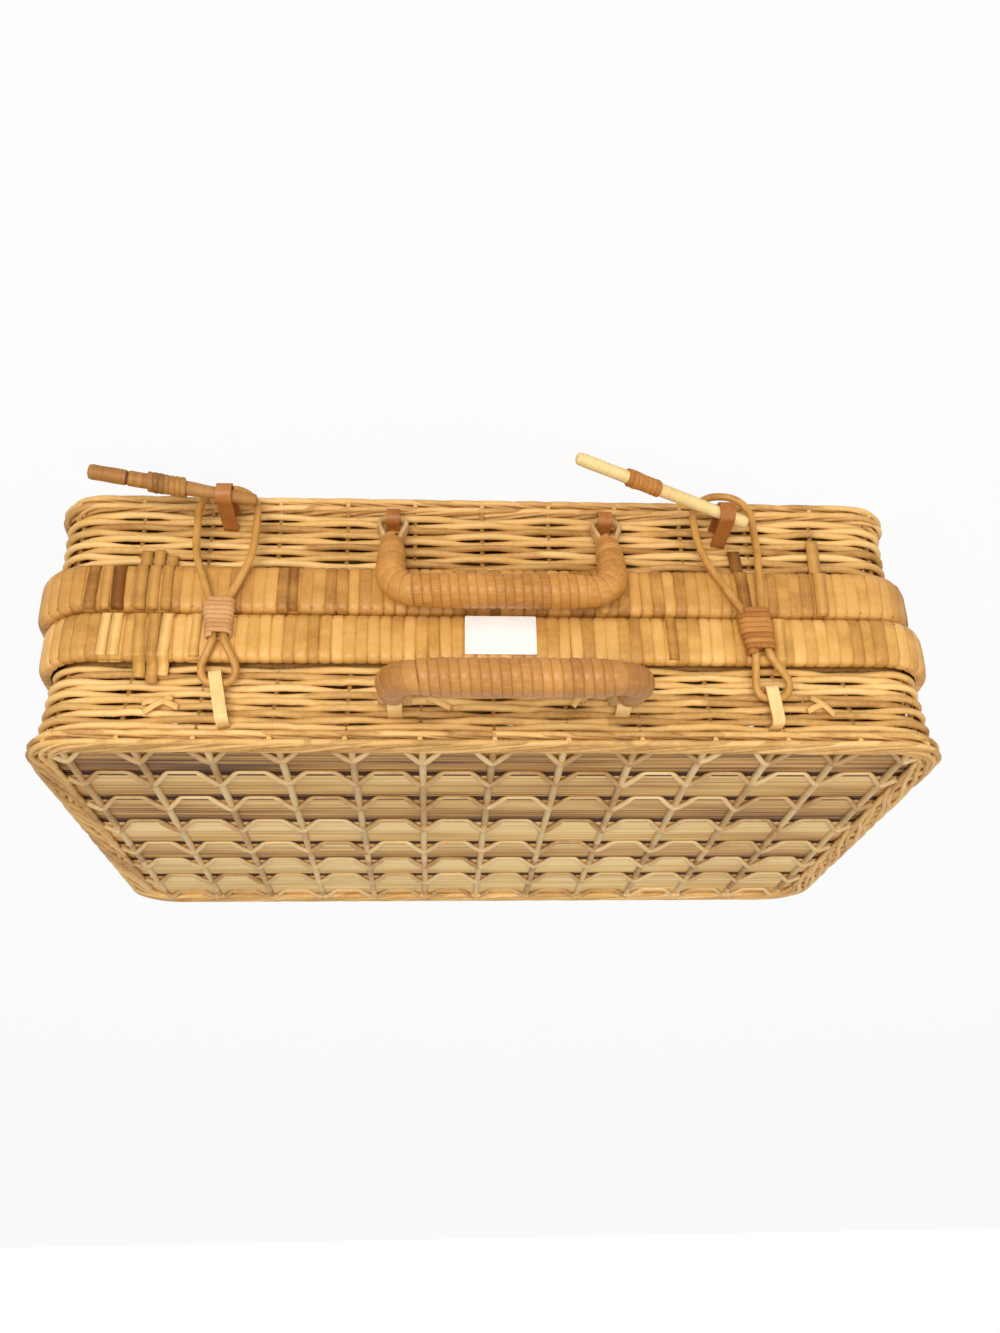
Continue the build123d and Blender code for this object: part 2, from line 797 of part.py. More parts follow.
for side_name, peg in pegs.items():
    keep(peg_stick(peg), f"peg_{side_name}")
    keep(peg_binding(f"peg_{side_name}_binding", peg), f"peg_{side_name}_binding")
    height, half_open, reach = staple_shape(peg)
    leg = half_open + staple_thickness / 2
    strap = strap_loop(
        peg["staple_x"], height, leg, leg, reach, staple_width, staple_thickness, half_open - bound_clearance
    )
    keep(strap, f"base_staple_{side_name}")


# The hinges
def hinge_bow(x):
    """A cane bow: both ends come through the base's back wall, and its bar lies on the hinge axis."""
    inside = back - wall - hinge_bow_tail
    with BuildPart() as piece:
        with BuildLine() as path:
            FilletPolyline(
                (x - hinge_bow_half_width, inside, hinge_bow_root),
                (x - hinge_bow_half_width, hinge_y, hinge_bow_root),
                (x - hinge_bow_half_width, hinge_y, hinge_z),
                (x + hinge_bow_half_width, hinge_y, hinge_z),
                (x + hinge_bow_half_width, hinge_y, hinge_bow_root),
                (x + hinge_bow_half_width, inside, hinge_bow_root),
                radius=hinge_bow_bend,
            )
        with BuildSketch(Plane(origin=path.line @ 0, z_dir=path.line % 0)):
            Circle(hinge_bow_radius)
        sweep()
    return piece


def hinge_strap(x):
    """A doubled flat strap: round the bow's bar, up over the lid's rim, and in through the lid's back wall."""
    inner = hinge_bow_radius + hinge_strap_room
    doubled = 2 * hinge_strap_thickness
    leg_y = back + rim_proud + bound_clearance + doubled / 2
    inside_y = back - wall - strap_inside_clearance - doubled
    with BuildPart() as piece:
        with BuildSketch(Plane.YZ.offset(x)):
            with Locations((hinge_y, hinge_z)):
                Circle(inner + hinge_strap_thickness)
            with BuildLine():
                Polyline(
                    (leg_y - doubled / 2, hinge_z + hinge_bow_radius),
                    (leg_y + doubled / 2, hinge_z + hinge_bow_radius),
                    (leg_y + doubled / 2, hinge_strap_height + doubled / 2),
                    (inside_y, hinge_strap_height + doubled / 2),
                    (inside_y, hinge_strap_height - doubled / 2),
                    (leg_y - doubled / 2, hinge_strap_height - doubled / 2),
                    close=True,
                )
            make_face()
            with Locations((inside_y + doubled / 2, hinge_strap_height + hinge_strap_tail / 2)):
                Rectangle(doubled, hinge_strap_tail)
            with Locations((hinge_y, hinge_z)):
                Circle(inner, mode=Mode.SUBTRACT)
        extrude(amount=hinge_strap_width / 2, both=True)
    return piece


for side_name, x in zip(("right", "left"), hinge_x):
    keep(hinge_bow(x), f"base_hinge_bow_{side_name}")
    keep(hinge_strap(x), f"lid_hinge_strap_{side_name}")

# The bare paper label on the front of the lid's rim
with BuildPart() as rim_label:
    label_z = lid_bottom + label_above_parting + label_height / 2
    with BuildSketch(Plane.XZ.offset(-(front - rim_proud - label_gap))):
        with Locations((label_x, label_z)):
            RectangleRounded(label_width, label_height, label_thickness * 2)
    extrude(amount=label_thickness)
keep(rim_label, "rim_label")

# Two short diagonal ties on the lid's front wall
with BuildPart() as lid_ties:
    for x, z, turn in tie_places:
        with BuildSketch(Plane.XZ.offset(-(front - tie_gap))):
            with Locations(Location((x, z), turn)):
                SlotOverall(tie_length, tie_width)
        extrude(amount=tie_thickness)
keep(lid_ties, "lid_ties")
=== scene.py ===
"""A wicker picnic case lying on its base: two woven halves with cane-bound rims and slatted faces, two bound
carrying handles, and two cane hasps held by wooden pegs. Metres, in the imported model's frame."""

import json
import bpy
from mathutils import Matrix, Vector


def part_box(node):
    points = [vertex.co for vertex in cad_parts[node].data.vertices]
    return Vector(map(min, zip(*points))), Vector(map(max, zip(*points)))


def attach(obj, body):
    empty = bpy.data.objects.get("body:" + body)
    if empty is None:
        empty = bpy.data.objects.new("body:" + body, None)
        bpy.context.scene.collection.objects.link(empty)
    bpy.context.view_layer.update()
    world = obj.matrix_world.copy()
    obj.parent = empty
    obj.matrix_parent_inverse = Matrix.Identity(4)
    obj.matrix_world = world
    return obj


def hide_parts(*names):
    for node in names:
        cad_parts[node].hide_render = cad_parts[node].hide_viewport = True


bl_info = {
    "name": "Wicker picnic case",
    "version": (1, 0, 0),
    "blender": (4, 5, 0),
    "location": "View3D > Sidebar > Picnic case",
    "description": "Weaves, binds and finishes a wicker picnic case round its packed model",
    "category": "Object",
}

from math import pi, radians

import bmesh
import bpy
import numpy as np
from bpy.props import FloatProperty, FloatVectorProperty, IntProperty, PointerProperty
from mathutils import Matrix, Vector

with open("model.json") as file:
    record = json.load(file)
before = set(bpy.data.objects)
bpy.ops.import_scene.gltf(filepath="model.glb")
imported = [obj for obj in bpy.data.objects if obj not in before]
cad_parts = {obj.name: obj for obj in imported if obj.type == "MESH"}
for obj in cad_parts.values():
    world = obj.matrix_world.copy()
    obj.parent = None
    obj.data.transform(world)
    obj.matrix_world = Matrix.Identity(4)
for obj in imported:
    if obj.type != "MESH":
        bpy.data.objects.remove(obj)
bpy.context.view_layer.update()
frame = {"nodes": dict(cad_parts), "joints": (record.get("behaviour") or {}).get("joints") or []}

MM = 0.001
ALONG_CASE, TO_HINGES, UPWARDS = np.eye(3)


# Numbers and nodes


class Number:
    """A socket that stands in sums and products like a plain number."""

    def __init__(self, recipe, socket):
        self.recipe = recipe
        self.socket = socket

    def maths(self, operation, first, second):
        return self.recipe.add("ShaderNodeMath", {"operation": operation}, {0: first, 1: second})

    def __add__(self, other):
        return self.maths("ADD", self, other)

    def __sub__(self, other):
        return self.maths("SUBTRACT", self, other)

    def __rsub__(self, other):
        return self.maths("SUBTRACT", other, self)

    def __mul__(self, other):
        return self.maths("MULTIPLY", self, other)

    def __truediv__(self, other):
        return self.maths("DIVIDE", self, other)

    __radd__ = __add__
    __rmul__ = __mul__


class Recipe:
    """Fills one node tree."""

    def __init__(self, tree):
        self.tree = tree
        self.entry = None

    @staticmethod
    def pick(sockets, key):
        shown = [socket for socket in sockets if socket.enabled]
        if isinstance(key, int):
            return shown[key]
        return next(socket for socket in shown if socket.name == key)

    def give(self, socket, value):
        """Links a number to a socket, or sets a plain value on it."""
        if isinstance(value, Number):
            self.tree.links.new(value.socket, socket)
        else:
            socket.default_value = value

    def add(self, kind, settings=None, sockets=None, output=0):
        """Adds a node: its settings first, then the values or links of its sockets."""
        node = self.tree.nodes.new(kind)
        node.location = (180 * len(self.tree.nodes), 0)
        for name, value in (settings or {}).items():
            if name == "stops":
                self.set_stops(node.color_ramp, value)
            else:
                setattr(node, name, value)
        for key, value in (sockets or {}).items():
            self.give(self.pick(node.inputs, key), value)
        if isinstance(output, tuple):
            return tuple(Number(self, self.pick(node.outputs, key)) for key in output)
        if output is None:
            return node
        return Number(self, self.pick(node.outputs, output))

    @staticmethod
    def set_stops(ramp, stops):
        while len(ramp.elements) < len(stops):
            ramp.elements.new(1.0)
        for element, (position, colour_value) in zip(ramp.elements, stops):
            element.position = position
            element.color = (*colour_value, 1.0)

    def function(self, operation, value):
        return self.add("ShaderNodeMath", {"operation": operation}, {0: value})

    def limited(self, value):
        return self.add("ShaderNodeClamp", {}, {"Value": value})

    def vector(self, x, y, z):
        return self.add("ShaderNodeCombineXYZ", {}, {"X": x, "Y": y, "Z": z})

    def split(self, vector):
        return self.add("ShaderNodeSeparateXYZ", {}, {"Vector": vector}, output=("X", "Y", "Z"))

    def arrows(self, operation, *vectors):
        return self.add("ShaderNodeVectorMath", {"operation": operation}, dict(enumerate(vectors)))

    def noise(self, vector, scale, detail=2.0, roughness=0.5):
        """Smooth noise between 0 and 1, mostly near a half."""
        sockets = {"Vector": vector, "Scale": scale, "Detail": detail, "Roughness": roughness}
        return self.add("ShaderNodeTexNoise", {}, sockets)

    def object_place(self):
        """Where a point lies on its object."""
        return self.add("ShaderNodeTexCoord", output="Object")

    def levels(self, place, stops, interpolation="LINEAR"):
        """A number read between stops along a place from 0 to 1."""
        greys = [(position, (level,) * 3) for position, level in stops]
        ramp = self.add("ShaderNodeValToRGB", {"stops": greys}, {"Fac": place}, output=None)
        ramp.color_ramp.interpolation = interpolation
        return self.add("ShaderNodeSeparateColor", {}, {"Color": Number(self, ramp.outputs["Color"])})


def grow(name, tree, start, values):
    """Runs a geometry tree on a starting mesh, and keeps the result as a plain mesh object."""
    piece = bpy.data.objects.new(name, start)
    bpy.context.scene.collection.objects.link(piece)
    modifier = piece.modifiers.new("Grow", "NODES")
    modifier.node_group = tree
    for item in tree.interface.items_tree:
        if item.item_type == "SOCKET" and item.in_out == "INPUT" and item.name in values:
            modifier[item.identifier] = values[item.name]
    bpy.context.view_layer.update()
    graph = bpy.context.evaluated_depsgraph_get()
    mesh = bpy.data.meshes.new_from_object(piece.evaluated_get(graph), depsgraph=graph)
    piece.modifiers.clear()
    piece.data = mesh
    mesh.name = name
    bpy.data.meshes.remove(start)
    return piece


# Plain meshes


def mesh_of(name, points, edges=(), faces=(), attributes=None):
    mesh = bpy.data.meshes.new(name)
    mesh.from_pydata([tuple(point) for point in points], edges, faces)
    for label, values in (attributes or {}).items():
        layer = mesh.attributes.new(label, "FLOAT", "POINT")
        layer.data.foreach_set("value", np.asarray(values, dtype=np.float32))
    return mesh


def mesh_of_lines(ends):
    """Separate straight edges, each between two points that follow each other."""
    return mesh_of("start", ends, [(index, index + 1) for index in range(0, len(ends), 2)])


def closed_piece(name, points, faces, attributes, material):
    """A piece of closed shells with its faces turned outwards."""
    mesh = mesh_of(name, points, (), faces, attributes)
    shells = bmesh.new()
    shells.from_mesh(mesh)
    bmesh.ops.recalc_face_normals(shells, faces=shells.faces)
    shells.to_mesh(mesh)
    shells.free()
    for polygon in mesh.polygons:
        polygon.use_smooth = True
    mesh.materials.append(material)
    piece = bpy.data.objects.new(name, mesh)
    bpy.context.scene.collection.objects.link(piece)
    return piece


def distances(points):
    """How far along a path each of its points lies."""
    return np.concatenate([[0], np.cumsum(np.linalg.norm(np.diff(points, axis=0), axis=1))])


class Shells:
    """Gathers swept shells into one piece."""

    def __init__(self):
        self.points = []
        self.faces = []
        self.attributes = {"along": [], "across": [], "tone": []}
        self.count = 0

    def sweep(self, places, outs, sides, section, tone):
        """Sweeps a closed section along places, with capped ends. The section is given as offsets to the side
        and out; one direction does for all places."""
        places = np.asarray(places, float)
        outs, sides = (np.broadcast_to(np.asarray(ways, float), places.shape) for ways in (outs, sides))
        steps = len(places)
        section = np.broadcast_to(np.asarray(section, float), (steps, *np.shape(section)[-2:]))
        around = section.shape[1]
        rings = places[:, None] + sides[:, None] * section[..., :1] + outs[:, None] * section[..., 1:]
        self.points.append(rings.reshape(-1, 3))
        self.attributes["along"].append(np.repeat(distances(places), around))
        self.attributes["across"].append(section[..., 0].reshape(-1))
        self.attributes["tone"].append(np.repeat(np.broadcast_to(tone, steps), around))
        for low in range(self.count, self.count + (steps - 1) * around, around):
            for corner in range(around):
                following = (corner + 1) % around
                face = (low + corner, low + following, low + around + following, low + around + corner)
                self.faces.append(face)
        self.faces.append(tuple(range(self.count + around - 1, self.count - 1, -1)))
        last = self.count + (steps - 1) * around
        self.faces.append(tuple(range(last, last + around)))
        self.count += steps * around

    def piece(self, name, material):
        attributes = {label: np.concatenate(values) for label, values in self.attributes.items()}
        return closed_piece(name, np.concatenate(self.points), self.faces, attributes, material)


def round_section(sides):
    """A circle of radius 1 as offsets to the side and out."""
    turn = np.linspace(0, 2 * pi, sides, endpoint=False)
    return np.stack([np.cos(turn), np.sin(turn)], axis=-1)


# A flat cane's end, as shares of its width and thickness
CANE_SIDE = np.array([-0.5, -0.47, -0.36, -0.18, 0.0, 0.18, 0.36, 0.47, 0.5])
CANE_OUT = np.array([0.0, 0.55, 0.86, 0.97, 1.0, 0.97, 0.86, 0.55, 0.0])


def flat_section(width, thickness):
    """A flat cane from the end: flat below and domed above; the width may change along it."""
    wide = np.multiply.outer(width, CANE_SIDE)
    return np.stack([wide, np.broadcast_to(CANE_OUT * thickness, wide.shape)], axis=-1)


def by_turn(rng, low, high, turn, count):
    """A random value for each turn of a winding, which passes smoothly into the next turn's."""
    return np.interp(turn, np.arange(count), rng.uniform(low, high, count))


def rounded_path(corners, bends, step):
    """Points along a path of straight runs with its corners rounded by arcs, and their headings."""
    corners = [np.asarray(corner, float) for corner in corners]
    points = [corners[0]]
    for before, corner, after, bend in zip(corners, corners[1:], corners[2:], bends):
        back = (before - corner) / np.linalg.norm(before - corner)
        ahead = (after - corner) / np.linalg.norm(after - corner)
        half_turn = np.arccos(np.clip(back @ ahead, -1, 1)) / 2
        centre = corner + (back + ahead) / np.linalg.norm(back + ahead) * bend / np.sin(half_turn)
        first = corner + back * bend / np.tan(half_turn) - centre
        last = corner + ahead * bend / np.tan(half_turn) - centre
        sweep = pi - 2 * half_turn
        for share in np.linspace(0, 1, max(3, int(sweep * bend / step) + 1)):
            mixed = (np.sin((1 - share) * sweep) * first + np.sin(share * sweep) * last) / np.sin(sweep)
            points.append(centre + mixed)
    points.append(corners[-1])
    points = np.array(points)
    travelled = distances(points)
    keep = np.concatenate([[True], np.diff(travelled) > 1e-7])
    points, travelled = points[keep], travelled[keep]
    even = np.linspace(0, travelled[-1], int(travelled[-1] / step) + 1)
    points = np.stack([np.interp(even, travelled, points[:, axis]) for axis in range(3)], axis=-1)
    headings = np.gradient(points, axis=0)
    headings /= np.linalg.norm(headings, axis=1)[:, None]
    return points, headings, even


# The two halves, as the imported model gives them


class Half:
    """Where one woven half lies. Inward is 1 where its inside is above its face, and -1 where it is below."""

    def __init__(self, name, inward):
        low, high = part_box(f"{name}_rim_wrap")
        self.name = name
        self.inward = inward
        self.centre = (low.x + high.x) / 2
        self.rim_width = high.x - low.x
        self.rim_depth = high.y - low.y
        self.rim_end, self.edge = (low.z, high.z)[::inward]
        low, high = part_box(f"{name}_border")
        self.flare = (high.x - low.x - self.rim_width) / 2
        self.face, self.border_end = (low.z, high.z)[::inward]
        self.slat_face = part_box(f"{name}_slats")[::inward][0].z
        self.stake_low, self.stake_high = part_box(f"{name}_stakes")


HALVES = (Half("base", 1), Half("lid", -1))
SEEDS = {"base": {"weave": 11, "border": 5, "rim": 41}, "lid": {"weave": 23, "border": 8, "rim": 67}}


# Sizes and colours that a user would change


def srgb(*parts):
    return tuple((part / 255) ** 2.2 for part in parts)


def length(name, description, default):
    return FloatProperty(name=name, description=description, default=default, unit="LENGTH", precision=5)


def count(name, description, default, least):
    return IntProperty(name=name, description=description, default=default, min=least)


def colour(name, description, *default):
    settings = {"default": srgb(*default), "subtype": "COLOR", "min": 0, "max": 1}
    return FloatVectorProperty(name=name, description=description, **settings)


class CaseSizes(bpy.types.PropertyGroup):
    corner: length("Corner radius", "Corner radius of the woven wall's outer face", 0.026)
    rim_proud: length("Rim proud", "How far the bound rim stands out from the wall", 0.0059)
    rim_inside: length("Rim inside", "How far the bound rim reaches in from the wall's outer face", 0.0114)
    border_proud: length("Border proud", "How far the border stands out from the wall", 0.0015)
    border_width: length("Border width", "Width of the border round the face", 0.013)


class WeaveSizes(bpy.types.PropertyGroup):
    rows: count("Rows", "Rows of weavers between rim and border", 10, 2)
    stakes: count("Stakes", "Upright stakes round the wall", 40, 4)
    rod_radius: length("Rod Radius", "Half the thickness of a weaver", 0.0018)
    reach: length("Reach", "How far a weaver swings in and out past a stake", 0.0017)
    depth: length("Depth", "How far the middle of the weave lies inside the wall's outer face", 0.0037)
    wander: length("Wander", "How far a weaver strays up and down", 0.0012)
    stake_radius: length("Stake Radius", "Half the thickness of an upright stake", 0.0013)
    border_gap: length("Border Gap", "Open height between the last row and the border", 0.0002)
    splice: length("Splice", "Length after which another rod takes over", 0.31)


class RimSizes(bpy.types.PropertyGroup):
    strips: count("Strips", "Turns of flat cane round each rim", 238, 10)
    strip_width: length("Strip Width", "Width of a turn of flat cane", 0.0066)
    fold: length("Fold", "How far a strip's edges turn down", 0.0014)
    lean: FloatProperty(name="Lean", description="Greatest lean of a strip, as a slope", default=0.045)


class FaceSizes(bpy.types.PropertyGroup):
    stake_pitch: length("Stake Pitch", "Distance between the stakes across the slats", 0.0342)
    stake_radius: length("Stake Radius", "Half the width of a stake", 0.00195)
    cane_radius: length("Cane Radius", "Half the thickness of the twining cane between stakes", 0.001)
    arm_radius: length("Arm Radius", "Half the thickness of the twining cane at a stake", 0.0015)
    dip: length("Dip", "How far the twining cane bends back to cross a stake", 0.0148)
    arm: length("Arm", "How far from a stake the twining cane starts to bend", 0.0098)


class BindingSizes(bpy.types.PropertyGroup):
    grip_pitch: length("Grip pitch", "Distance between turns of a handle's binding", 0.0044)
    grip_radius: length("Grip radius", "Outer radius of a handle's binding along its grip", 0.0087)
    arm_radius: length("Arm radius", "Outer radius of a handle's binding along its arms", 0.0076)
    band_thickness: length("Band thickness", "Thickness of a flat cane band", 0.0011)
    hasp_seat: length("Hasp seat", "Inner radius of a hasp's binding round its canes", 0.0025)
    hasp_turns: count("Hasp turns", "Turns of a hasp's binding", 8, 2)
    peg_turns: count("Peg turns", "Turns of a peg's binding", 7, 2)


class Colours(bpy.types.PropertyGroup):
    weave_pale: colour("Pale weaver", "Palest peeled willow", 248, 208, 138)
    weave_mid: colour("Weaver", "Common peeled willow", 222, 175, 104)
    weave_dark: colour("Dark weaver", "Darkest willow", 146, 96, 40)
    rim_pale: colour("Pale rim cane", "Palest flat cane of the rims", 240, 188, 112)
    rim_mid: colour("Rim cane", "Common flat cane of the rims", 214, 160, 82)
    rim_dark: colour("Dark rim cane", "Darkest flat cane of the rims", 160, 106, 44)
    grip_mid: colour("Grip cane", "Glossy cane of the handles", 202, 138, 64)
    grip_dark: colour("Dark grip cane", "Darkest cane of the handles", 156, 98, 36)
    stake_pale: colour("Pale stake", "Pale stakes and twining cane", 214, 178, 124)
    stake_brown: colour("Brown stake", "Brown stakes", 160, 114, 62)


PARTS = {
    "case": CaseSizes, "weave": WeaveSizes, "rim": RimSizes,
    "face": FaceSizes, "binding": BindingSizes, "colours": Colours,
}


class PicnicCase(bpy.types.PropertyGroup):
    __annotations__ = {part: PointerProperty(type=group) for part, group in PARTS.items()}


def sizes(context):
    return context.scene.picnic_case


def by_label(group):
    """A group's sizes by their labels, as the inputs of the trees are named."""
    properties = group.bl_rna.properties
    return {properties[name].name: getattr(group, name) for name in group.__annotations__}


# Finishes


def new_finish(name):
    """A material with its principled shader, and the recipe of its tree."""
    material = bpy.data.materials.new(name)
    material.use_nodes = True
    tree = material.node_tree
    tree.nodes.clear()
    recipe = Recipe(tree)
    surface = recipe.add("ShaderNodeBsdfPrincipled", output=None)
    shown = {"Surface": Number(recipe, surface.outputs["BSDF"])}
    recipe.add("ShaderNodeOutputMaterial", {}, shown, output=None)
    return material, recipe, surface


def shades(colours):
    """Even ramp stops through colours, dark to pale."""
    last = len(colours) - 1
    return [(index / last, tuple(colour_value)[:3]) for index, colour_value in enumerate(colours)]


def dress(recipe, surface, shade, stops, roughness, relief, relief_height, coat=0.0):
    """Joins a shade between 0 and 1 through a ramp, a roughness and a relief to the shader."""
    ramp = recipe.add("ShaderNodeValToRGB", {"stops": stops}, {"Fac": recipe.limited(shade)})
    bump = recipe.add("ShaderNodeBump", {}, {"Strength": 0.6, "Distance": relief_height, "Height": relief})
    looks = {
        "Base Color": ramp, "Roughness": roughness, "Normal": bump,
        "Specular IOR Level": 0.25, "Coat Weight": coat, "Coat Roughness": 0.25,
    }
    for name, value in looks.items():
        recipe.give(surface.inputs[name], value)


def strand_finish(name, stops, gloss, coat, drift_size, streak_size, spread):
    """Cane or willow strands: each has its own shade, which drifts along it between fine long streaks."""
    material, recipe, surface = new_finish(name)
    tone, along, across = (
        recipe.add("ShaderNodeAttribute", {"attribute_name": label}, output="Fac")
        for label in ("tone", "along", "across")
    )
    drift = recipe.noise(recipe.vector(along, tone * 7, tone * 3), 1 / drift_size, 3)
    streak = recipe.noise(recipe.vector(along * 0.06, across, tone * 5), 1 / streak_size, 3, 0.6)
    fleck = recipe.noise(recipe.object_place(), 420.0, 2)
    shade = (tone - 0.5) * spread + drift * 0.75 + streak * 0.35 + fleck * 0.25 - 0.18
    dress(recipe, surface, shade, stops, gloss + streak * 0.25 - 0.1, streak + fleck * 0.5, 0.0003, coat)
    return material


def solid_finish(name, stops, direction, gloss, coat, knots):
    """A carried-over solid of wood or cane: streaks along one direction, with slow mottling."""
    material, recipe, surface = new_finish(name)
    place = recipe.object_place()
    scale = tuple(40.0 if axis == direction else 900.0 for axis in "XYZ")
    stretched = recipe.add("ShaderNodeMapping", {}, {"Vector": place, "Scale": scale})
    streak = recipe.noise(stretched, 1.0, 3, 0.6)
    drift = recipe.noise(place, 70.0, 3)
    shade = streak * 0.55 + drift * 0.75 - 0.15
    if knots > 0:
        cells = {"Vector": place, "Scale": 90.0}
        spot = recipe.add("ShaderNodeTexVoronoi", {"feature": "F1"}, cells, output="Distance")
        shade = shade - recipe.limited(1.0 - spot * 5.0) * knots
    dress(recipe, surface, shade, stops, gloss + streak * 0.2 - 0.1, streak + drift * 0.4, 0.0003, coat)
    return material


# The slats across a face, in millimetres, and the tone of each
SLAT_WIDTHS = np.array([32.5, 34.0, 35.0, 38.0, 30.0, 32.0, 41.5])
SLAT_GAP = 2.0
SLAT_TONES = (0.5, 0.56, 0.46, 0.72, 0.5, 0.76, 0.56)
# Painted shade in and beside each gap and a painted highlight on the slat past it: millimetres from the edge
# of the slat behind it, and the level there
GAP_SHADE_AND_HIGHLIGHT = ((-5.2, 0.46), (-3.8, 0.02), (0.7, 0.0), (1.8, 0.72))
SLAT_COLOURS = ((64, 33, 4), (164, 114, 52), (204, 157, 88), (228, 186, 116), (252, 216, 148))


def slat_finish():
    """Split wood slats, each with its own tone by its place across the face, and fine grain along it."""
    material, recipe, surface = new_finish("slat wood")
    x, y, z = recipe.split(recipe.object_place())
    total = SLAT_WIDTHS.sum() + SLAT_GAP * (len(SLAT_WIDTHS) - 1)
    starts = [float(start) for start in (np.cumsum(SLAT_WIDTHS + SLAT_GAP) - SLAT_WIDTHS - SLAT_GAP) / total]
    across = (y + total * MM / 2) / (total * MM)
    tone = recipe.levels(across, list(zip(starts, SLAT_TONES)), "CONSTANT")
    # Painted shade in and beside each gap between slats, and a painted highlight on the slat past it
    gaps = [(start + offset / total, level) for start in starts[1:] for offset, level in GAP_SHADE_AND_HIGHLIGHT]
    edge = recipe.levels(across, gaps)
    grain = recipe.noise(recipe.vector(x * 5.0, y * 700.0, z * 300.0), 1.0, 4, 0.65)
    broad = recipe.noise(recipe.vector(x * 9.0, y * 60.0 + tone * 40.0, 0.0), 1.0, 2)
    # The last term lays the painted gap shade and highlight over the slats' own tone and grain
    shade = tone * 1.5 - 0.45 + (grain - 0.5) * 2.0 + (broad - 0.5) * 0.8 + (edge - 0.5) * 1.9
    stops = shades([srgb(*parts) for parts in SLAT_COLOURS])
    dress(recipe, surface, shade, stops, 0.5 + grain * 0.2 - 0.1, grain, 0.0004)
    return material


def paper_finish():
    material, recipe, surface = new_finish("bare paper")
    place = recipe.object_place()
    fibre = recipe.noise(place, 1400.0, 3)
    stain = recipe.noise(place, 90.0, 2)
    stops = shades([(0.66, 0.6, 0.48), (0.92, 0.89, 0.82), (0.98, 0.96, 0.91)])
    dress(recipe, surface, stain * 0.5 + fibre * 0.2 + 0.35, stops, 0.8, fibre, 0.0001)
    return material


# Finishes of strands: material, colours from dark to pale (a word is one of the user's colours), gloss, coat,
# size of the slow drift along a strand, size of its streaks, and how far the strands differ
STRANDS = {
    "weave": ("woven willow", ("weave_dark", "weave_mid", "weave_pale"), 0.45, 0.0, 0.035, 0.0009, 0.55),
    "border": (
        "border willow", ((140, 94, 40), (222, 173, 104), (250, 208, 138)), 0.45, 0.0, 0.02, 0.0009, 0.45,
    ),
    "lid rim": ("lid rim cane", ("rim_dark", "rim_mid", "rim_pale"), 0.4, 0.12, 0.012, 0.0007, 0.5),
    "base rim": (
        "base rim cane", ((128, 76, 26), (198, 143, 71), (228, 173, 95)), 0.4, 0.12, 0.012, 0.0007, 0.5,
    ),
    "base grip": ("grip cane", ("grip_dark", "grip_mid", (230, 166, 86)), 0.34, 0.3, 0.02, 0.0006, 0.5),
    # The lid's grip is the same cane as the base's, painted darker as painted shade because the lamps light
    # it more
    "lid grip": (
        "lid grip cane", ((146, 90, 34), (186, 126, 60), (214, 152, 80)), 0.34, 0.3, 0.02, 0.0006, 0.5,
    ),
    "stake": ("face cane", ("stake_brown", "stake_pale", (236, 206, 150)), 0.5, 0.0, 0.02, 0.0007, 0.65),
    "eye": ("split cane", ((150, 104, 54), (198, 156, 98), (232, 204, 156)), 0.45, 0.1, 0.012, 0.0009, 0.75),
    "pale binding": (
        "pale binding", ((164, 108, 58), (208, 152, 96), (230, 180, 126)), 0.5, 0.05, 0.008, 0.0005, 0.5,
    ),
    "brown binding": (
        "brown binding", ((126, 72, 26), (188, 122, 56), (212, 152, 84)), 0.45, 0.1, 0.008, 0.0005, 0.5,
    ),
    "bark": ("barked willow", ((92, 52, 20), (172, 118, 56), (196, 146, 86)), 0.42, 0.15, 0.014, 0.0006, 0.8),
    "peeled": (
        "peeled willow", ((196, 150, 84), (244, 212, 142), (252, 232, 180)), 0.4, 0.1, 0.02, 0.0006, 0.6,
    ),
}
# Finishes of carried-over solids: material, colours, direction of the streaks, gloss, coat, dark of the knots
SOLIDS = {
    "hasp": ("bent cane", ((132, 82, 30), (192, 138, 66), (230, 180, 106)), "Z", 0.38, 0.2, 0.25),
    "brown strap": ("brown cane strap", ((116, 64, 26), (168, 104, 48), (196, 136, 76)), "Z", 0.4, 0.15, 0.0),
    "pale strap": ("pale cane strap", ((204, 150, 84), (238, 196, 128), (252, 228, 170)), "Z", 0.4, 0.1, 0.0),
    "hoop": ("hoop wood", ((120, 78, 38), (170, 118, 62), (196, 146, 86)), "X", 0.6, 0.0, 0.0),
}
FINISHES = {}


def finish(context, name):
    """One of the case's finishes, which are all made at the first call."""
    if not FINISHES:
        chosen = sizes(context).colours
        for make, table in ((strand_finish, STRANDS), (solid_finish, SOLIDS)):
            for key, (material, colours, *looks) in table.items():
                parts = [getattr(chosen, part) if isinstance(part, str) else srgb(*part) for part in colours]
                FINISHES[key] = make(material, shades(parts), *looks)
        FINISHES["slat"] = slat_finish()
        FINISHES["paper"] = paper_finish()
    return FINISHES[name]


def assign(context, node, name):
    """Gives a carried-over node a finish."""
    materials = frame["nodes"][node].data.materials
    materials.clear()
    materials.append(finish(context, name))


def settle(piece, body, slot, *nodes):
    """Puts a piece on its body and hides the nodes that it stands for. Its slot is not used."""
    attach(piece, body)
    if nodes:
        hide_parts(*nodes)


# The trees of what follows a half's outline


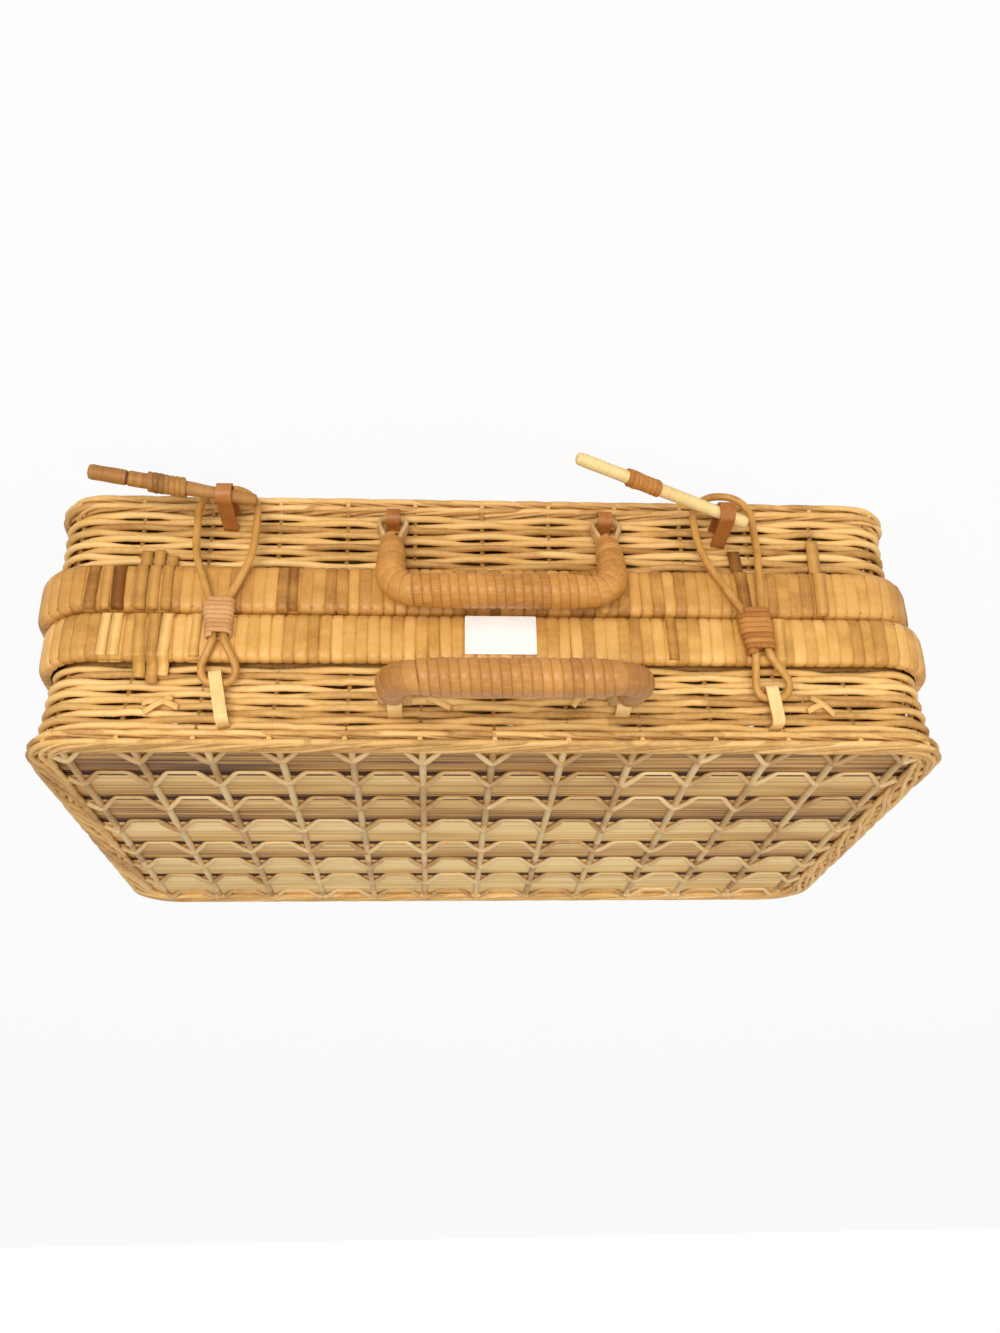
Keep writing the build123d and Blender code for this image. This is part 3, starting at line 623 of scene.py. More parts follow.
def outline_curve(half, corner, rim_proud):
    """The woven wall's outline as a curve, anticlockwise from above, from the middle of the hinge side."""
    width, depth = half.rim_width / 2 - rim_proud, half.rim_depth / 2 - rim_proud
    points = [(half.centre, depth)]
    for side_x, side_y, start in ((-1, 1, 90), (-1, -1, 180), (1, -1, 270), (1, 1, 0)):
        for degrees in np.linspace(start, start + 90, 17):
            turn = radians(degrees)
            x = half.centre + side_x * (width - corner) + corner * np.cos(turn)
            points.append((x, side_y * (depth - corner) + corner * np.sin(turn)))
    curve = bpy.data.curves.new(f"{half.name}_outline", "CURVE")
    curve.dimensions = "3D"
    spline = curve.splines.new("POLY")
    spline.points.add(len(points) - 1)
    for point, (x, y) in zip(spline.points, points):
        point.co = (x, y, 0, 1)
    spline.use_cyclic_u = True
    outline = bpy.data.objects.new(f"{half.name}_outline", curve)
    bpy.context.scene.collection.objects.link(outline)
    return outline


class OutlineRecipe(Recipe):
    """A geometry recipe whose shapes follow a half's outline."""

    def __init__(self, name):
        super().__init__(bpy.data.node_groups.new(name, "GeometryNodeTree"))
        self.start, = self.inputs("Geometry", "Geometry")
        outline, = self.inputs("Object", "Outline")
        self.material, = self.inputs("Material", "Material")
        self.seed, = self.inputs("Int", "Seed")
        self.centre, self.half_width = self.inputs("Float", "Centre", "Half Width")
        self.flare, self.flare_start, self.flare_end = self.inputs(
            "Float", "Flare", "Flare Start", "Flare End"
        )
        self.curve = self.add("GeometryNodeObjectInfo", {}, {"Object": outline}, output="Geometry")
        self.length = self.add("GeometryNodeCurveLength", {}, {"Curve": self.curve})

    def inputs(self, kind, *names):
        """Named inputs of the tree, as the values that they give."""
        for name in names:
            self.tree.interface.new_socket(name=name, in_out="INPUT", socket_type=f"NodeSocket{kind}")
        if self.entry is None:
            self.entry = self.tree.nodes.new("NodeGroupInput")
        return tuple(Number(self, self.entry.outputs[name]) for name in names)

    def place(self, along, out, height):
        """The place at a distance along the outline, a distance out from it and a height."""
        sockets = {"Curves": self.curve, "Factor": self.function("FRACT", along / self.length)}
        spot, heading = self.add(
            "GeometryNodeSampleCurve", {"mode": "FACTOR"}, sockets, output=("Position", "Tangent")
        )
        outward = self.arrows("NORMALIZE", self.arrows("CROSS_PRODUCT", heading, (0, 0, 1)))
        shift = self.add("ShaderNodeVectorMath", {"operation": "SCALE"}, {0: outward, "Scale": out})
        x, y, _ = self.split(self.arrows("ADD", spot, shift))
        rise = (height - self.flare_start) / (self.flare_end - self.flare_start)
        spread = self.flare * self.limited(rise)
        wide = self.centre + (x - self.centre) * (1 + spread / self.half_width)
        return self.vector(wide, y, height)

    def position(self):
        return self.split(self.add("GeometryNodeInputPosition"))

    def random(self, low, high, identity, seed):
        sockets = {"Min": low, "Max": high, "ID": identity, "Seed": seed}
        return self.add("FunctionNodeRandomValue", {"data_type": "FLOAT"}, sockets)

    def ring_noise(self, along, row, scale):
        """Noise that joins up where the outline closes."""
        turn = along / self.length * (2 * pi)
        rank = row * 3.7 + self.seed
        spot = self.vector(self.function("COSINE", turn), self.function("SINE", turn), rank)
        return self.noise(spot, scale, 2)

    def line(self, amount, **ends):
        """A straight line of an amount of points."""
        line = self.add("GeometryNodeCurvePrimitiveLine", {}, ends)
        return self.add("GeometryNodeResampleCurve", {"mode": "COUNT"}, {"Curve": line, "Count": amount})

    def strand(self, amount):
        """An unrolled strand from the outline's start to its end."""
        return self.line(amount, End=self.vector(self.length, 0.0, 0.0))

    def copies(self, geometry, amount):
        sockets = {"Geometry": geometry, "Amount": amount}
        return self.add("GeometryNodeDuplicateElements", {"domain": "SPLINE"}, sockets, output=(0, 1))

    def store(self, geometry, name, value, domain="POINT"):
        settings = {"data_type": "FLOAT", "domain": domain}
        sockets = {"Geometry": geometry, "Name": name, "Value": value}
        return self.add("GeometryNodeStoreNamedAttribute", settings, sockets)

    def move(self, geometry, position):
        return self.add("GeometryNodeSetPosition", {}, {"Geometry": geometry, "Position": position})

    def tube(self, curve, radius, sides):
        size = {"Resolution": sides, "Radius": 1.0}
        ring = self.add("GeometryNodeCurvePrimitiveCircle", {"mode": "RADIUS"}, size)
        sockets = {"Curve": curve, "Profile Curve": ring, "Scale": radius, "Fill Caps": True}
        return self.add("GeometryNodeCurveToMesh", {}, sockets)

    def finish(self, geometry):
        """Ends the tree in plain, smooth, finished geometry."""
        real = self.add("GeometryNodeRealizeInstances", {}, {"Geometry": geometry})
        smooth = self.add("GeometryNodeSetShadeSmooth", {}, {"Geometry": real})
        sockets = {"Geometry": smooth, "Material": self.material}
        dressed = self.add("GeometryNodeSetMaterial", {}, sockets)
        self.tree.interface.new_socket(name="Geometry", in_out="OUTPUT", socket_type="NodeSocketGeometry")
        self.add("NodeGroupOutput", {}, {"Geometry": dressed}, output=None)
        return self.tree

    def finish_strands(self, strands):
        """Ends the tree, with the height of each point as its place across a strand."""
        _, _, level = self.position()
        return self.finish(self.store(strands, "across", level))


def grow_on_half(context, half, label, slot, node, look, tree, values, start=None):
    """Grows a piece along a half's outline, which rides on the half and stands for one of its nodes."""
    case = sizes(context).case
    outline = outline_curve(half, case.corner, case.rim_proud)
    shared = {
        "Outline": outline,
        "Centre": half.centre,
        "Half Width": half.rim_width / 2 - case.rim_proud,
        "Flare": half.flare + case.rim_proud - case.border_proud,
        "Flare Start": half.rim_end,
        "Flare End": half.border_end,
        "Material": finish(context, look),
    }
    start = start or mesh_of("start", [(0, 0, 0)])
    piece = grow(f"{half.name}_{label}", tree, start, {**shared, **values})
    settle(piece, half.name, slot, f"{half.name}_{node}")
    bpy.data.objects.remove(outline)


# The stakes' ends, which show as pale dots in the border: how far inside it they lie, how tall they are, how
# far they stand out there, and how far behind the weave the rest of a stake lies
STAKE_INTO_BORDER = 0.0052
STAKE_TIP = 0.006
STAKE_TIP_PROUD = 0.0053
STAKE_BEHIND = 0.0011


def weave_tree():
    """Weavers that pass in front of and behind upright stakes, alternating from row to row."""
    recipe = OutlineRecipe("Woven wall")
    rows, stakes = recipe.inputs("Int", "Rows", "Stakes")
    first, pitch, radius, reach, depth, wander, splice, stake_radius, stake_end = recipe.inputs(
        "Float", "First Row", "Row Pitch", "Rod Radius", "Reach", "Depth", "Wander", "Splice", "Stake Radius",
        "Stake End",
    )

    strands, row = recipe.copies(recipe.strand(stakes * 9 + 1), rows)
    along, _, _ = recipe.position()
    wave = recipe.function("COSINE", (along / recipe.length * stakes + row) * pi)
    stray = recipe.ring_noise(along, row, 9.0) - 0.5
    thickness = recipe.ring_noise(along, row + 31.0, 5.0)
    ripple = recipe.ring_noise(along, row + 57.0, 22.0) - 0.5
    out = wave * reach - depth + ripple * wander
    height = first + row * pitch + (stray * 2 + ripple * 1.6) * wander
    rod = recipe.function("FLOOR", along / splice + row * 0.618)
    strands = recipe.store(strands, "along", along)
    strands = recipe.store(strands, "tone", recipe.random(0.0, 1.0, rod * 13 + row, recipe.seed))
    strands = recipe.move(strands, recipe.place(along, out, height))
    weavers = recipe.tube(strands, radius * (0.72 + thickness * 0.56), 8)

    upright = recipe.line(7, Start=recipe.vector(0.0, 0.0, first), End=recipe.vector(0.0, 0.0, stake_end))
    uprights, number = recipe.copies(upright, stakes)
    _, _, level = recipe.position()
    near_end = recipe.limited(1.0 - recipe.function("ABSOLUTE", level - stake_end) / STAKE_TIP)
    uprights = recipe.store(uprights, "along", level)
    # Painted shade: a stake is painted darkest along its length behind the weave, and pale only near its cut
    # end in the border
    uprights = recipe.store(uprights, "tone", near_end * 1.1 - 0.15)
    out = near_end * STAKE_TIP_PROUD - depth - STAKE_BEHIND
    spot = recipe.place(number * recipe.length / stakes, out, level)
    posts = recipe.tube(recipe.move(uprights, spot), stake_radius, 7)

    both = recipe.add("GeometryNodeJoinGeometry", output=None)
    for part in (weavers, posts):
        recipe.tree.links.new(part.socket, both.inputs[0])
    return recipe.finish_strands(Number(recipe, both.outputs[0]))


BORDER_STRANDS = 7
BORDER_TURNS = 11
BORDER_STRAND_RADIUS = 0.00145
BORDER_SPLICE = 0.21


def border_tree():
    """Two flat rolls of strands, one over the other, that twist opposite ways round the border."""
    recipe = OutlineRecipe("Rolled border")
    strands, turns = recipe.inputs("Int", "Strands", "Turns")
    radius, half_wide, half_high, middle_out, middle_height, apart = recipe.inputs(
        "Float", "Strand Radius", "Half Width Of Roll", "Half Height Of Roll", "Middle Out", "Middle Height",
        "Apart",
    )

    lines, number = recipe.copies(recipe.strand(420), strands * 2)
    along, _, _ = recipe.position()
    stray = recipe.ring_noise(along, number, 7.0) - 0.5
    second = recipe.limited(recipe.function("FLOOR", number / strands))
    way = 1.0 - second * 2.0
    roll = (along / recipe.length * turns * way + number / strands) * (2 * pi) + stray * 1.6
    out = recipe.function("COSINE", roll) * half_wide + middle_out
    height = recipe.function("SINE", roll) * half_high + middle_height + way * apart
    lines = recipe.store(lines, "along", along)
    part = recipe.function("FLOOR", along / BORDER_SPLICE + number * 0.382)
    lines = recipe.store(lines, "tone", recipe.random(0.0, 1.0, part * 11 + number, recipe.seed))
    lines = recipe.move(lines, recipe.place(along, out, height))
    thickness = recipe.ring_noise(along, number + 17.0, 6.0)
    return recipe.finish_strands(recipe.tube(lines, radius * (0.8 + thickness * 0.4), 8))


def rim_tree():
    """Turns of flat cane side by side round the rim, each with its own width, lean and shade."""
    recipe = OutlineRecipe("Bound rim")
    strips, = recipe.inputs("Int", "Strips")
    lean, middle = recipe.inputs("Float", "Lean", "Middle Height")

    step = recipe.vector(recipe.length / strips, 0.0, 0.0)
    spots = recipe.add("GeometryNodeMeshLine", {"mode": "OFFSET"}, {"Count": strips, "Offset": step})
    number = recipe.add("GeometryNodeInputIndex")
    width = recipe.random(0.84, 1.12, number, recipe.seed)
    size = recipe.vector(width, recipe.random(0.955, 1.0, number, recipe.seed + 3), 1.0)
    sockets = {"Points": spots, "Instance": recipe.start, "Scale": size}
    turns = recipe.add("GeometryNodeInstanceOnPoints", {}, sockets)
    number = recipe.add("GeometryNodeInputIndex")
    turns = recipe.store(turns, "tone", recipe.random(0.0, 1.0, number, recipe.seed + 5), "INSTANCE")
    turns = recipe.store(turns, "lean", recipe.random(-1.0, 1.0, number, recipe.seed + 9), "INSTANCE")
    turns = recipe.add("GeometryNodeRealizeInstances", {}, {"Geometry": turns})
    own_lean = recipe.add("GeometryNodeInputNamedAttribute", {"data_type": "FLOAT"}, {"Name": "lean"})
    along, out, height = recipe.position()
    drift = recipe.noise(recipe.vector(along, 0.0, recipe.seed), 12.0, 1) - 0.5
    slope = (own_lean * 0.6 + drift * 2.0) * lean
    return recipe.finish(recipe.move(turns, recipe.place(along + (height - middle) * slope, out, height)))


def face_tree():
    """Canes that lie on a face; where they cross a stake they bend back and rise over it."""
    recipe = OutlineRecipe("Face canes")
    sides, = recipe.inputs("Int", "Sides")
    pitch, arm, dip, lift, thin, thick, wander = recipe.inputs(
        "Float", "Stake Pitch", "Arm", "Dip", "Lift", "Cane Radius", "Arm Radius", "Wander"
    )

    curves = recipe.add("GeometryNodeMeshToCurve", {}, {"Mesh": recipe.start})
    sockets = {"Curve": curves, "Length": 0.0016}
    curves = recipe.add("GeometryNodeResampleCurve", {"mode": "LENGTH"}, sockets)
    x, y, z = recipe.position()
    in_pitches = (x - recipe.centre) / pitch
    from_stake = recipe.function("ABSOLUTE", recipe.function("FRACT", in_pitches + 20.5) - 0.5) * pitch
    stake = recipe.function("ROUND", in_pitches)
    shift = recipe.random(0.85, 1.12, stake * 31 + recipe.function("ROUND", y * 300), recipe.seed)
    bent = recipe.limited(1.0 - from_stake / arm)
    stray = recipe.noise(recipe.vector(x, y, recipe.seed), 45.0, 2) - 0.5
    sideways = recipe.noise(recipe.vector(y, x, recipe.seed + 5), 30.0, 2) - 0.5
    rise = recipe.limited(bent * 1.6) * lift
    placed = recipe.vector(x + sideways * wander, y + bent * dip * shift + stray * wander, z + rise)
    curves = recipe.store(curves, "along", x + y)
    bay = recipe.function("FLOOR", in_pitches + 0.02)
    tone = recipe.random(0.0, 1.0, bay * 7 + recipe.function("ROUND", y * 30), recipe.seed)
    curves = recipe.move(recipe.store(curves, "tone", tone), placed)
    canes = recipe.tube(curves, thin + (thick - thin) * recipe.limited(bent * 6.0), sides)
    return recipe.finish_strands(canes)


# The pieces, one operator for each group


class PieceOperator:
    bl_options = {"REGISTER", "UNDO"}


class PICNIC_OT_woven_walls(PieceOperator, bpy.types.Operator):
    """Weave the walls of both halves round their stakes"""

    bl_idname = "picnic.woven_walls"
    bl_label = "Woven walls"

    def execute(self, context):
        weave = sizes(context).weave
        tree = weave_tree()
        for half in HALVES:
            height = abs(half.border_end - half.rim_end)
            pitch = (height - weave.border_gap - 2.2 * weave.rod_radius) / (weave.rows - 1)
            values = by_label(weave)
            values["Seed"] = SEEDS[half.name]["weave"]
            values["First Row"] = half.rim_end - half.inward * weave.rod_radius
            values["Row Pitch"] = -half.inward * pitch
            values["Stake End"] = half.border_end - half.inward * STAKE_INTO_BORDER
            grow_on_half(context, half, "weave", "weave", "wall", "weave", tree, values)
        return {"FINISHED"}


class PICNIC_OT_borders(PieceOperator, bpy.types.Operator):
    """Roll the border strands where each wall meets its face"""

    bl_idname = "picnic.borders"
    bl_label = "Rolled borders"

    def execute(self, context):
        case = sizes(context).case
        tree = border_tree()
        for half in HALVES:
            height = abs(half.border_end - half.face)
            values = {
                "Seed": SEEDS[half.name]["border"],
                "Strands": BORDER_STRANDS,
                "Turns": BORDER_TURNS,
                "Strand Radius": BORDER_STRAND_RADIUS,
                "Half Width Of Roll": case.border_width / 2 - BORDER_STRAND_RADIUS,
                "Half Height Of Roll": height / 4 - BORDER_STRAND_RADIUS - 0.0001,
                "Apart": height / 4 + 0.0001,
                "Middle Out": case.border_proud - case.border_width / 2,
                "Middle Height": (half.border_end + half.face) / 2,
            }
            grow_on_half(context, half, "rolled_border", "border_weave", "border", "border", tree, values)
        return {"FINISHED"}


# How far in from the wall's inner face a rim's turns end
RIM_TURN_END = 0.0005
HOOP_DEPTH = 0.0054
# A turn of a rim's binding from the side, as shares of its width and of its fold
STRIP_SIDE = (-0.5, -0.46, -0.25, 0.0, 0.25, 0.46, 0.5)
STRIP_SINK = (1.0, 0.3, 0.06, 0.0, 0.06, 0.3, 1.0)
STRIP_STEP = 0.0021
STRIP_BENDS = (0.0015, 0.004, 0.03, 0.004, 0.0028, 0.0028, 0.003, 0.003, 0.003)


def strip_mesh(half, case, rim):
    """One turn of flat cane round the rim, unrolled: sideways, out from the wall, and up."""
    proud, inside = case.rim_proud, case.rim_inside
    height = abs(half.edge - half.rim_end)
    # Each corner as its distance out from the wall and down from the parting edge
    corners = (
        (-0.0005, height - 0.0008),
        (proud - 0.0016, height - 0.0002),
        (proud - 0.0001, height - 0.005),
        (proud, height / 2),
        (proud - 0.0001, 0.005),
        (proud - 0.0018, 0.0),
        (-inside + 0.0018, 0.0),
        (-inside, 0.005),
        (-inside, height - 0.005),
        (-inside + 0.0018, height - 0.0002),
        (-(inside - HOOP_DEPTH - RIM_TURN_END), height - 0.0008),
    )
    path = [(0.0, out, half.edge - half.inward * down) for out, down in corners]
    points, headings, travelled = rounded_path(path, STRIP_BENDS, STRIP_STEP)
    outs = np.cross(headings, ALONG_CASE) * half.inward
    places, along, across = [], [], []
    for point, out, distance in zip(points, outs, travelled):
        for side, sink in zip(STRIP_SIDE, STRIP_SINK):
            places.append(point + (side * rim.strip_width, 0.0, 0.0) - out * sink * rim.fold)
            along.append(distance)
            across.append(side * rim.strip_width)
    columns = len(STRIP_SIDE)
    faces = []
    for row in range(len(points) - 1):
        for corner in range(row * columns, (row + 1) * columns - 1):
            ring = (corner, corner + 1, corner + columns + 1, corner + columns)
            faces.append(ring[::half.inward])
    return mesh_of("strip", places, (), faces, {"along": along, "across": across})


class PICNIC_OT_rims(PieceOperator, bpy.types.Operator):
    """Bind both rims with turns of flat cane"""

    bl_idname = "picnic.rims"
    bl_label = "Bound rims"

    def execute(self, context):
        case, rim = sizes(context).case, sizes(context).rim
        tree = rim_tree()
        for half in HALVES:
            values = by_label(rim)
            values["Seed"] = SEEDS[half.name]["rim"]
            values["Middle Height"] = (half.edge + half.rim_end) / 2
            values["Flare"] = 0.0
            strip = strip_mesh(half, case, rim)
            look = f"{half.name} rim"
            grow_on_half(context, half, "bound_rim", "rim_cane", "rim_wrap", look, tree, values, strip)
            for hoop in ("outer_hoop", "inner_hoop"):
                assign(context, f"{half.name}_{hoop}", "hoop")
        return {"FINISHED"}


# Where the straight runs of the twining cane lie, just before the gaps between the slats
TWINING_ROWS = (-128.0, -97.0, -60.5, -23.5, 16.5, 48.5, 82.5, 119.5)
# How far the stakes and the twining cane reach on under the border
UNDER_BORDER = 0.004
# How far each strays sideways, and the seeds of that
STAKE_WANDER = 0.0012
TWINING_WANDER = 0.0005
STAKE_SEED = 3
TWINING_SEED = 9
# A stake doesn't bend back anywhere
NO_ARM = 1e-5


class PICNIC_OT_faces(PieceOperator, bpy.types.Operator):
    """Lay the stakes over the slats of both faces and twine cane across them"""

    bl_idname = "picnic.faces"
    bl_label = "Slatted faces"

    def execute(self, context):
        face = sizes(context).face
        tree = face_tree()
        for half in HALVES:
            outward = -half.inward
            low, high = half.stake_low, half.stake_high
            stake_z = half.slat_face + outward * face.stake_radius * 0.2
            columns = [half.centre + column * face.stake_pitch for column in range(-6, 7)]
            ends = [(x, y, stake_z) for x in columns for y in (low.y - UNDER_BORDER, high.y + UNDER_BORDER)]
            values = {
                "Seed": STAKE_SEED, "Stake Pitch": face.stake_pitch, "Arm": NO_ARM, "Dip": 0.0, "Lift": 0.0,
                "Cane Radius": face.stake_radius, "Arm Radius": face.stake_radius,
                "Wander": STAKE_WANDER, "Sides": 10,
            }
            lines = mesh_of_lines(ends)
            grow_on_half(context, half, "face_stakes", "stake_cane", "stakes", "stake", tree, values, lines)
            reach = (high.x - low.x) / 2 + UNDER_BORDER
            cane_z = half.slat_face + outward * face.cane_radius * 0.4
            across = (half.centre - reach, half.centre + reach)
            lines = mesh_of_lines([(x, row * MM, cane_z) for row in TWINING_ROWS for x in across])
            lift = outward * (abs(half.face - cane_z) - face.arm_radius - 0.0001)
            values = {
                **by_label(face), "Seed": TWINING_SEED, "Lift": lift, "Wander": TWINING_WANDER, "Sides": 6,
            }
            grow_on_half(context, half, "face_twining", "stake_cane", "twining", "stake", tree, values, lines)
            assign(context, f"{half.name}_slats", "slat")
        return {"FINISHED"}


# Each handle's lean from upright, for the base's, and from flat, for the lid's
BASE_HANDLE_LEAN = radians(18.0)
LID_HANDLE_LEAN = radians(13.0)
# Distance between the eyes' middles, from their axis to the middle of the grip, and from it to the binding
EYE_SPACING = 0.109
ARM_LENGTH = 0.055
BINDING_START = 0.018
HANDLE_CORNER = 0.013
# The handle's thickness: distance from the binding's end, and its radius there up to the arms
TAPER = (0, 0.002, 0.010, 0.024, 0.040, 0.052)
TAPER_RADIUS = (0.0052, 0.0056, 0.0070)
# Half an eye's opening and bar, and where its strands go into the binding
EYE_HALF_WIDTH = 0.0068
EYE_SHOULDER = 0.008
EYE_END = (0.0022, 0.0225)


class PICNIC_OT_handles(PieceOperator, bpy.types.Operator):
    """Shape both handles' eyes and cores, and bind them with glossy flat cane"""

    bl_idname = "picnic.handles"
    bl_label = "Handles"

    def execute(self, context):
        base_arm = np.array([0.0, -np.sin(BASE_HANDLE_LEAN), np.cos(BASE_HANDLE_LEAN)])
        lid_arm = np.array([0.0, -np.cos(LID_HANDLE_LEAN), np.sin(LID_HANDLE_LEAN)])
        self.make(context, "base", base_arm, 17, "brown strap")
        self.make(context, "lid", lid_arm, 18, "pale strap")
        return {"FINISHED"}

    @staticmethod
    def make(context, half_name, arm, seed, strap):
        """One handle, drawn flat: distances along the case, along the arms and out of the handle's plane."""
        body = f"{half_name}_handle"
        binding = sizes(context).binding
        joint = next(joint for joint in frame["joints"] if joint["child"] == body)
        normal = np.cross(ALONG_CASE, arm)
        axes = np.stack([ALONG_CASE, arm, normal])

        def spots(local):
            return np.array(joint["pos_m"], float) + np.asarray(local) @ axes

        half = EYE_SPACING / 2
        corners = [
            (-half, BINDING_START, 0), (-half, ARM_LENGTH, 0),
            (half, ARM_LENGTH, 0), (half, BINDING_START, 0),
        ]
        points, headings, travelled = rounded_path(corners, [HANDLE_CORNER] * 2, 0.0002)
        from_end = np.minimum(travelled, travelled[-1] - travelled)
        radius = np.interp(
            from_end, TAPER, [*TAPER_RADIUS, binding.arm_radius, binding.arm_radius, binding.grip_radius]
        )
        rng = np.random.default_rng(seed)
        turns = travelled[-1] / binding.grip_pitch
        turn = np.arange(len(travelled)) / len(travelled) * turns
        wobble = by_turn(rng, -0.00018, 0.00016, turn, int(turns) + 2)
        tones = by_turn(rng, 0.1, 0.95, turn, int(turns) + 2)
        angle = travelled / binding.grip_pitch * 2 * pi
        flat_sides = np.cross(headings, UPWARDS)
        out = np.cos(angle)[:, None] * UPWARDS + np.sin(angle)[:, None] * flat_sides
        seat = radius - binding.band_thickness + wobble
        bend = np.gradient(headings, axis=0) / np.gradient(travelled)[:, None]
        stretch = 1 - np.sum(bend * out, axis=1) * radius
        section = flat_section(binding.grip_pitch * 1.06 * stretch, binding.band_thickness)
        bands = Shells()
        bands.sweep(spots(points + out * seat[:, None]), out @ axes, headings @ axes, section, tones)
        piece = bands.piece(f"{body}_bound_cane", finish(context, f"{half_name} grip"))
        settle(piece, body, "handle_cane", f"{body}_wrap")

        core = Shells()
        coarse = slice(None, None, 8)
        ring = round_section(14)[None] * (radius[coarse] - binding.band_thickness * 0.9)[:, None, None]
        core.sweep(spots(points[coarse]), normal, flat_sides[coarse] @ axes, ring, 0.3)
        oval = np.abs(round_section(12)) ** 0.6 * np.sign(round_section(12))
        inset, end = EYE_END
        for middle in (-half, half):
            left, right = middle - EYE_HALF_WIDTH, middle + EYE_HALF_WIDTH
            eye = [
                (middle - inset, end, 0), (left, EYE_SHOULDER, 0), (left, 0, 0),
                (right, 0, 0), (right, EYE_SHOULDER, 0), (middle + inset, end, 0),
            ]
            loop, ways, _ = rounded_path(eye, [0.0062] * 4, 0.0006)
            wide = np.interp(loop[:, 1], [0.0015, 0.0075, 0.016, end], [0.0018, 0.0031, 0.0034, 0.0026])
            thick = np.interp(loop[:, 1], [0.0, 0.004, 0.012], [0.0018, 0.0013, 0.0012])
            section = oval[None] * np.stack([wide, thick], axis=-1)[:, None]
            core.sweep(spots(loop), np.cross(ways, UPWARDS) @ axes, normal, section, 0.55)
        settle(core.piece(f"{body}_core", finish(context, "eye")), body, "handle_cane", body)
        for end_name in ("left", "right"):
            assign(context, f"{body}_strap_{end_name}", strap)


# The hasps' bindings: the top and bottom of each as x, height and half the distance between the canes, then
# the seed of its turns and its finish
PINCHES = {
    "left": ((127.5, 88.5, 2.4), (128.9, 66.5, 4.6), 5, "pale binding"),
    "right": ((-135.3, 95.0, 3.4), (-132.6, 69.5, 5.0), 6, "brown binding"),
}
PINCH_FRONT = -149.4
# How far from a pinch's top its first turn starts, and how much of the pinch the turns take up
PINCH_START = 0.06
PINCH_SHARE = 0.88
HASP_TURN_STEPS = 44
HASP_BAND = 0.0012


class PICNIC_OT_hasps(PieceOperator, bpy.types.Operator):
    """Finish the hasps and wind their bindings of flat cane"""

    bl_idname = "picnic.hasps"
    bl_label = "Hasps"

    def execute(self, context):
        binding = sizes(context).binding
        turns = binding.hasp_turns
        for side_name, (top, bottom, seed, look) in PINCHES.items():
            upper, lower = (np.array([x, PINCH_FRONT, height]) * MM for x, height, _ in (top, bottom))
            reach = np.linalg.norm(lower - upper)
            along = (lower - upper) / reach
            across = np.cross(along, TO_HINGES)
            share = np.linspace(0, 1, turns * HASP_TURN_STEPS + 1)
            down = PINCH_START + PINCH_SHARE * share
            spread = (top[2] + (bottom[2] - top[2]) * down) * MM
            rng = np.random.default_rng(seed)
            radius = binding.hasp_seat + by_turn(rng, -0.0002, 0.0003, share * turns, turns + 1)
            walked = (share * turns) % 1.0 * (2 * pi * radius + 4 * spread)
            places, outs = [], []
            middles = upper + (lower - upper) * down[:, None]
            for middle, wide, bend, walk in zip(middles, spread, radius, walked):
                angle, side = self.round_two_canes(walk, wide, bend)
                out = across * np.cos(angle) - TO_HINGES * np.sin(angle)
                places.append(middle + across * side + out * bend)
                outs.append(out)
            tones = by_turn(rng, 0.1, 0.9, share * turns, turns + 1)
            section = flat_section(reach * PINCH_SHARE / turns * 1.05, HASP_BAND)
            bands = Shells()
            bands.sweep(places, outs, along, section, tones)
            piece = bands.piece(f"hasp_{side_name}_wound_cane", finish(context, look))
            settle(piece, f"hasp_{side_name}", "binding_cane", f"hasp_{side_name}_binding")
            assign(context, f"hasp_{side_name}", "hasp")
            assign(context, f"lid_staple_{side_name}", "pale strap")
        return {"FINISHED"}

    @staticmethod
    def round_two_canes(walk, wide, bend):
        """Which way is out, and how far to the side, after a walk round two canes from the back."""
        arc = pi * bend
        if walk < arc:
            return pi / 2 - walk / bend, wide
        if walk < arc + 2 * wide:
            return -pi / 2, wide - (walk - arc)
        if walk < 2 * arc + 2 * wide:
            return -pi / 2 - (walk - arc - 2 * wide) / bend, -wide
        return pi / 2, -wide + (walk - 2 * arc - 2 * wide)


# The pegs: tip and free end as x, y and height, the seed, how much stouter than its solid the free end
# is, the turn of its facets, the finishes of the stick and its binding, and the stick's slot
WALL_FRONT = -139.0
PEGS = {
    "left": (
        (113.3, WALL_FRONT - 19.0, 15.0), (192.6, WALL_FRONT - 35.0, 10.4), 31, 0.0007, 1, "bark", "bark",
        "bark_peg",
    ),
    "right": (
        (-134.4, WALL_FRONT - 15.0, 21.8), (-43.5, WALL_FRONT - 54.0, 11.4), 32, 0.0001, 2, "peeled",
        "brown binding", "peeled_peg",
    ),
}
PEG_RADIUS = 0.0033
PEG_STEPS = 161
PEG_SIDES = 16
PEG_BINDING_START = 0.028
PEG_BINDING_PITCH = 0.0026
PEG_TURN_STEPS = 26
PEG_BAND = 0.0009
# The left peg's cut through the bark: its place from the free end, half its width, what is left and its tone
NOTCH = 0.0185
NOTCH_REACH = 0.0005
NOTCH_SHARE = 0.86
NOTCH_TONE = -0.6


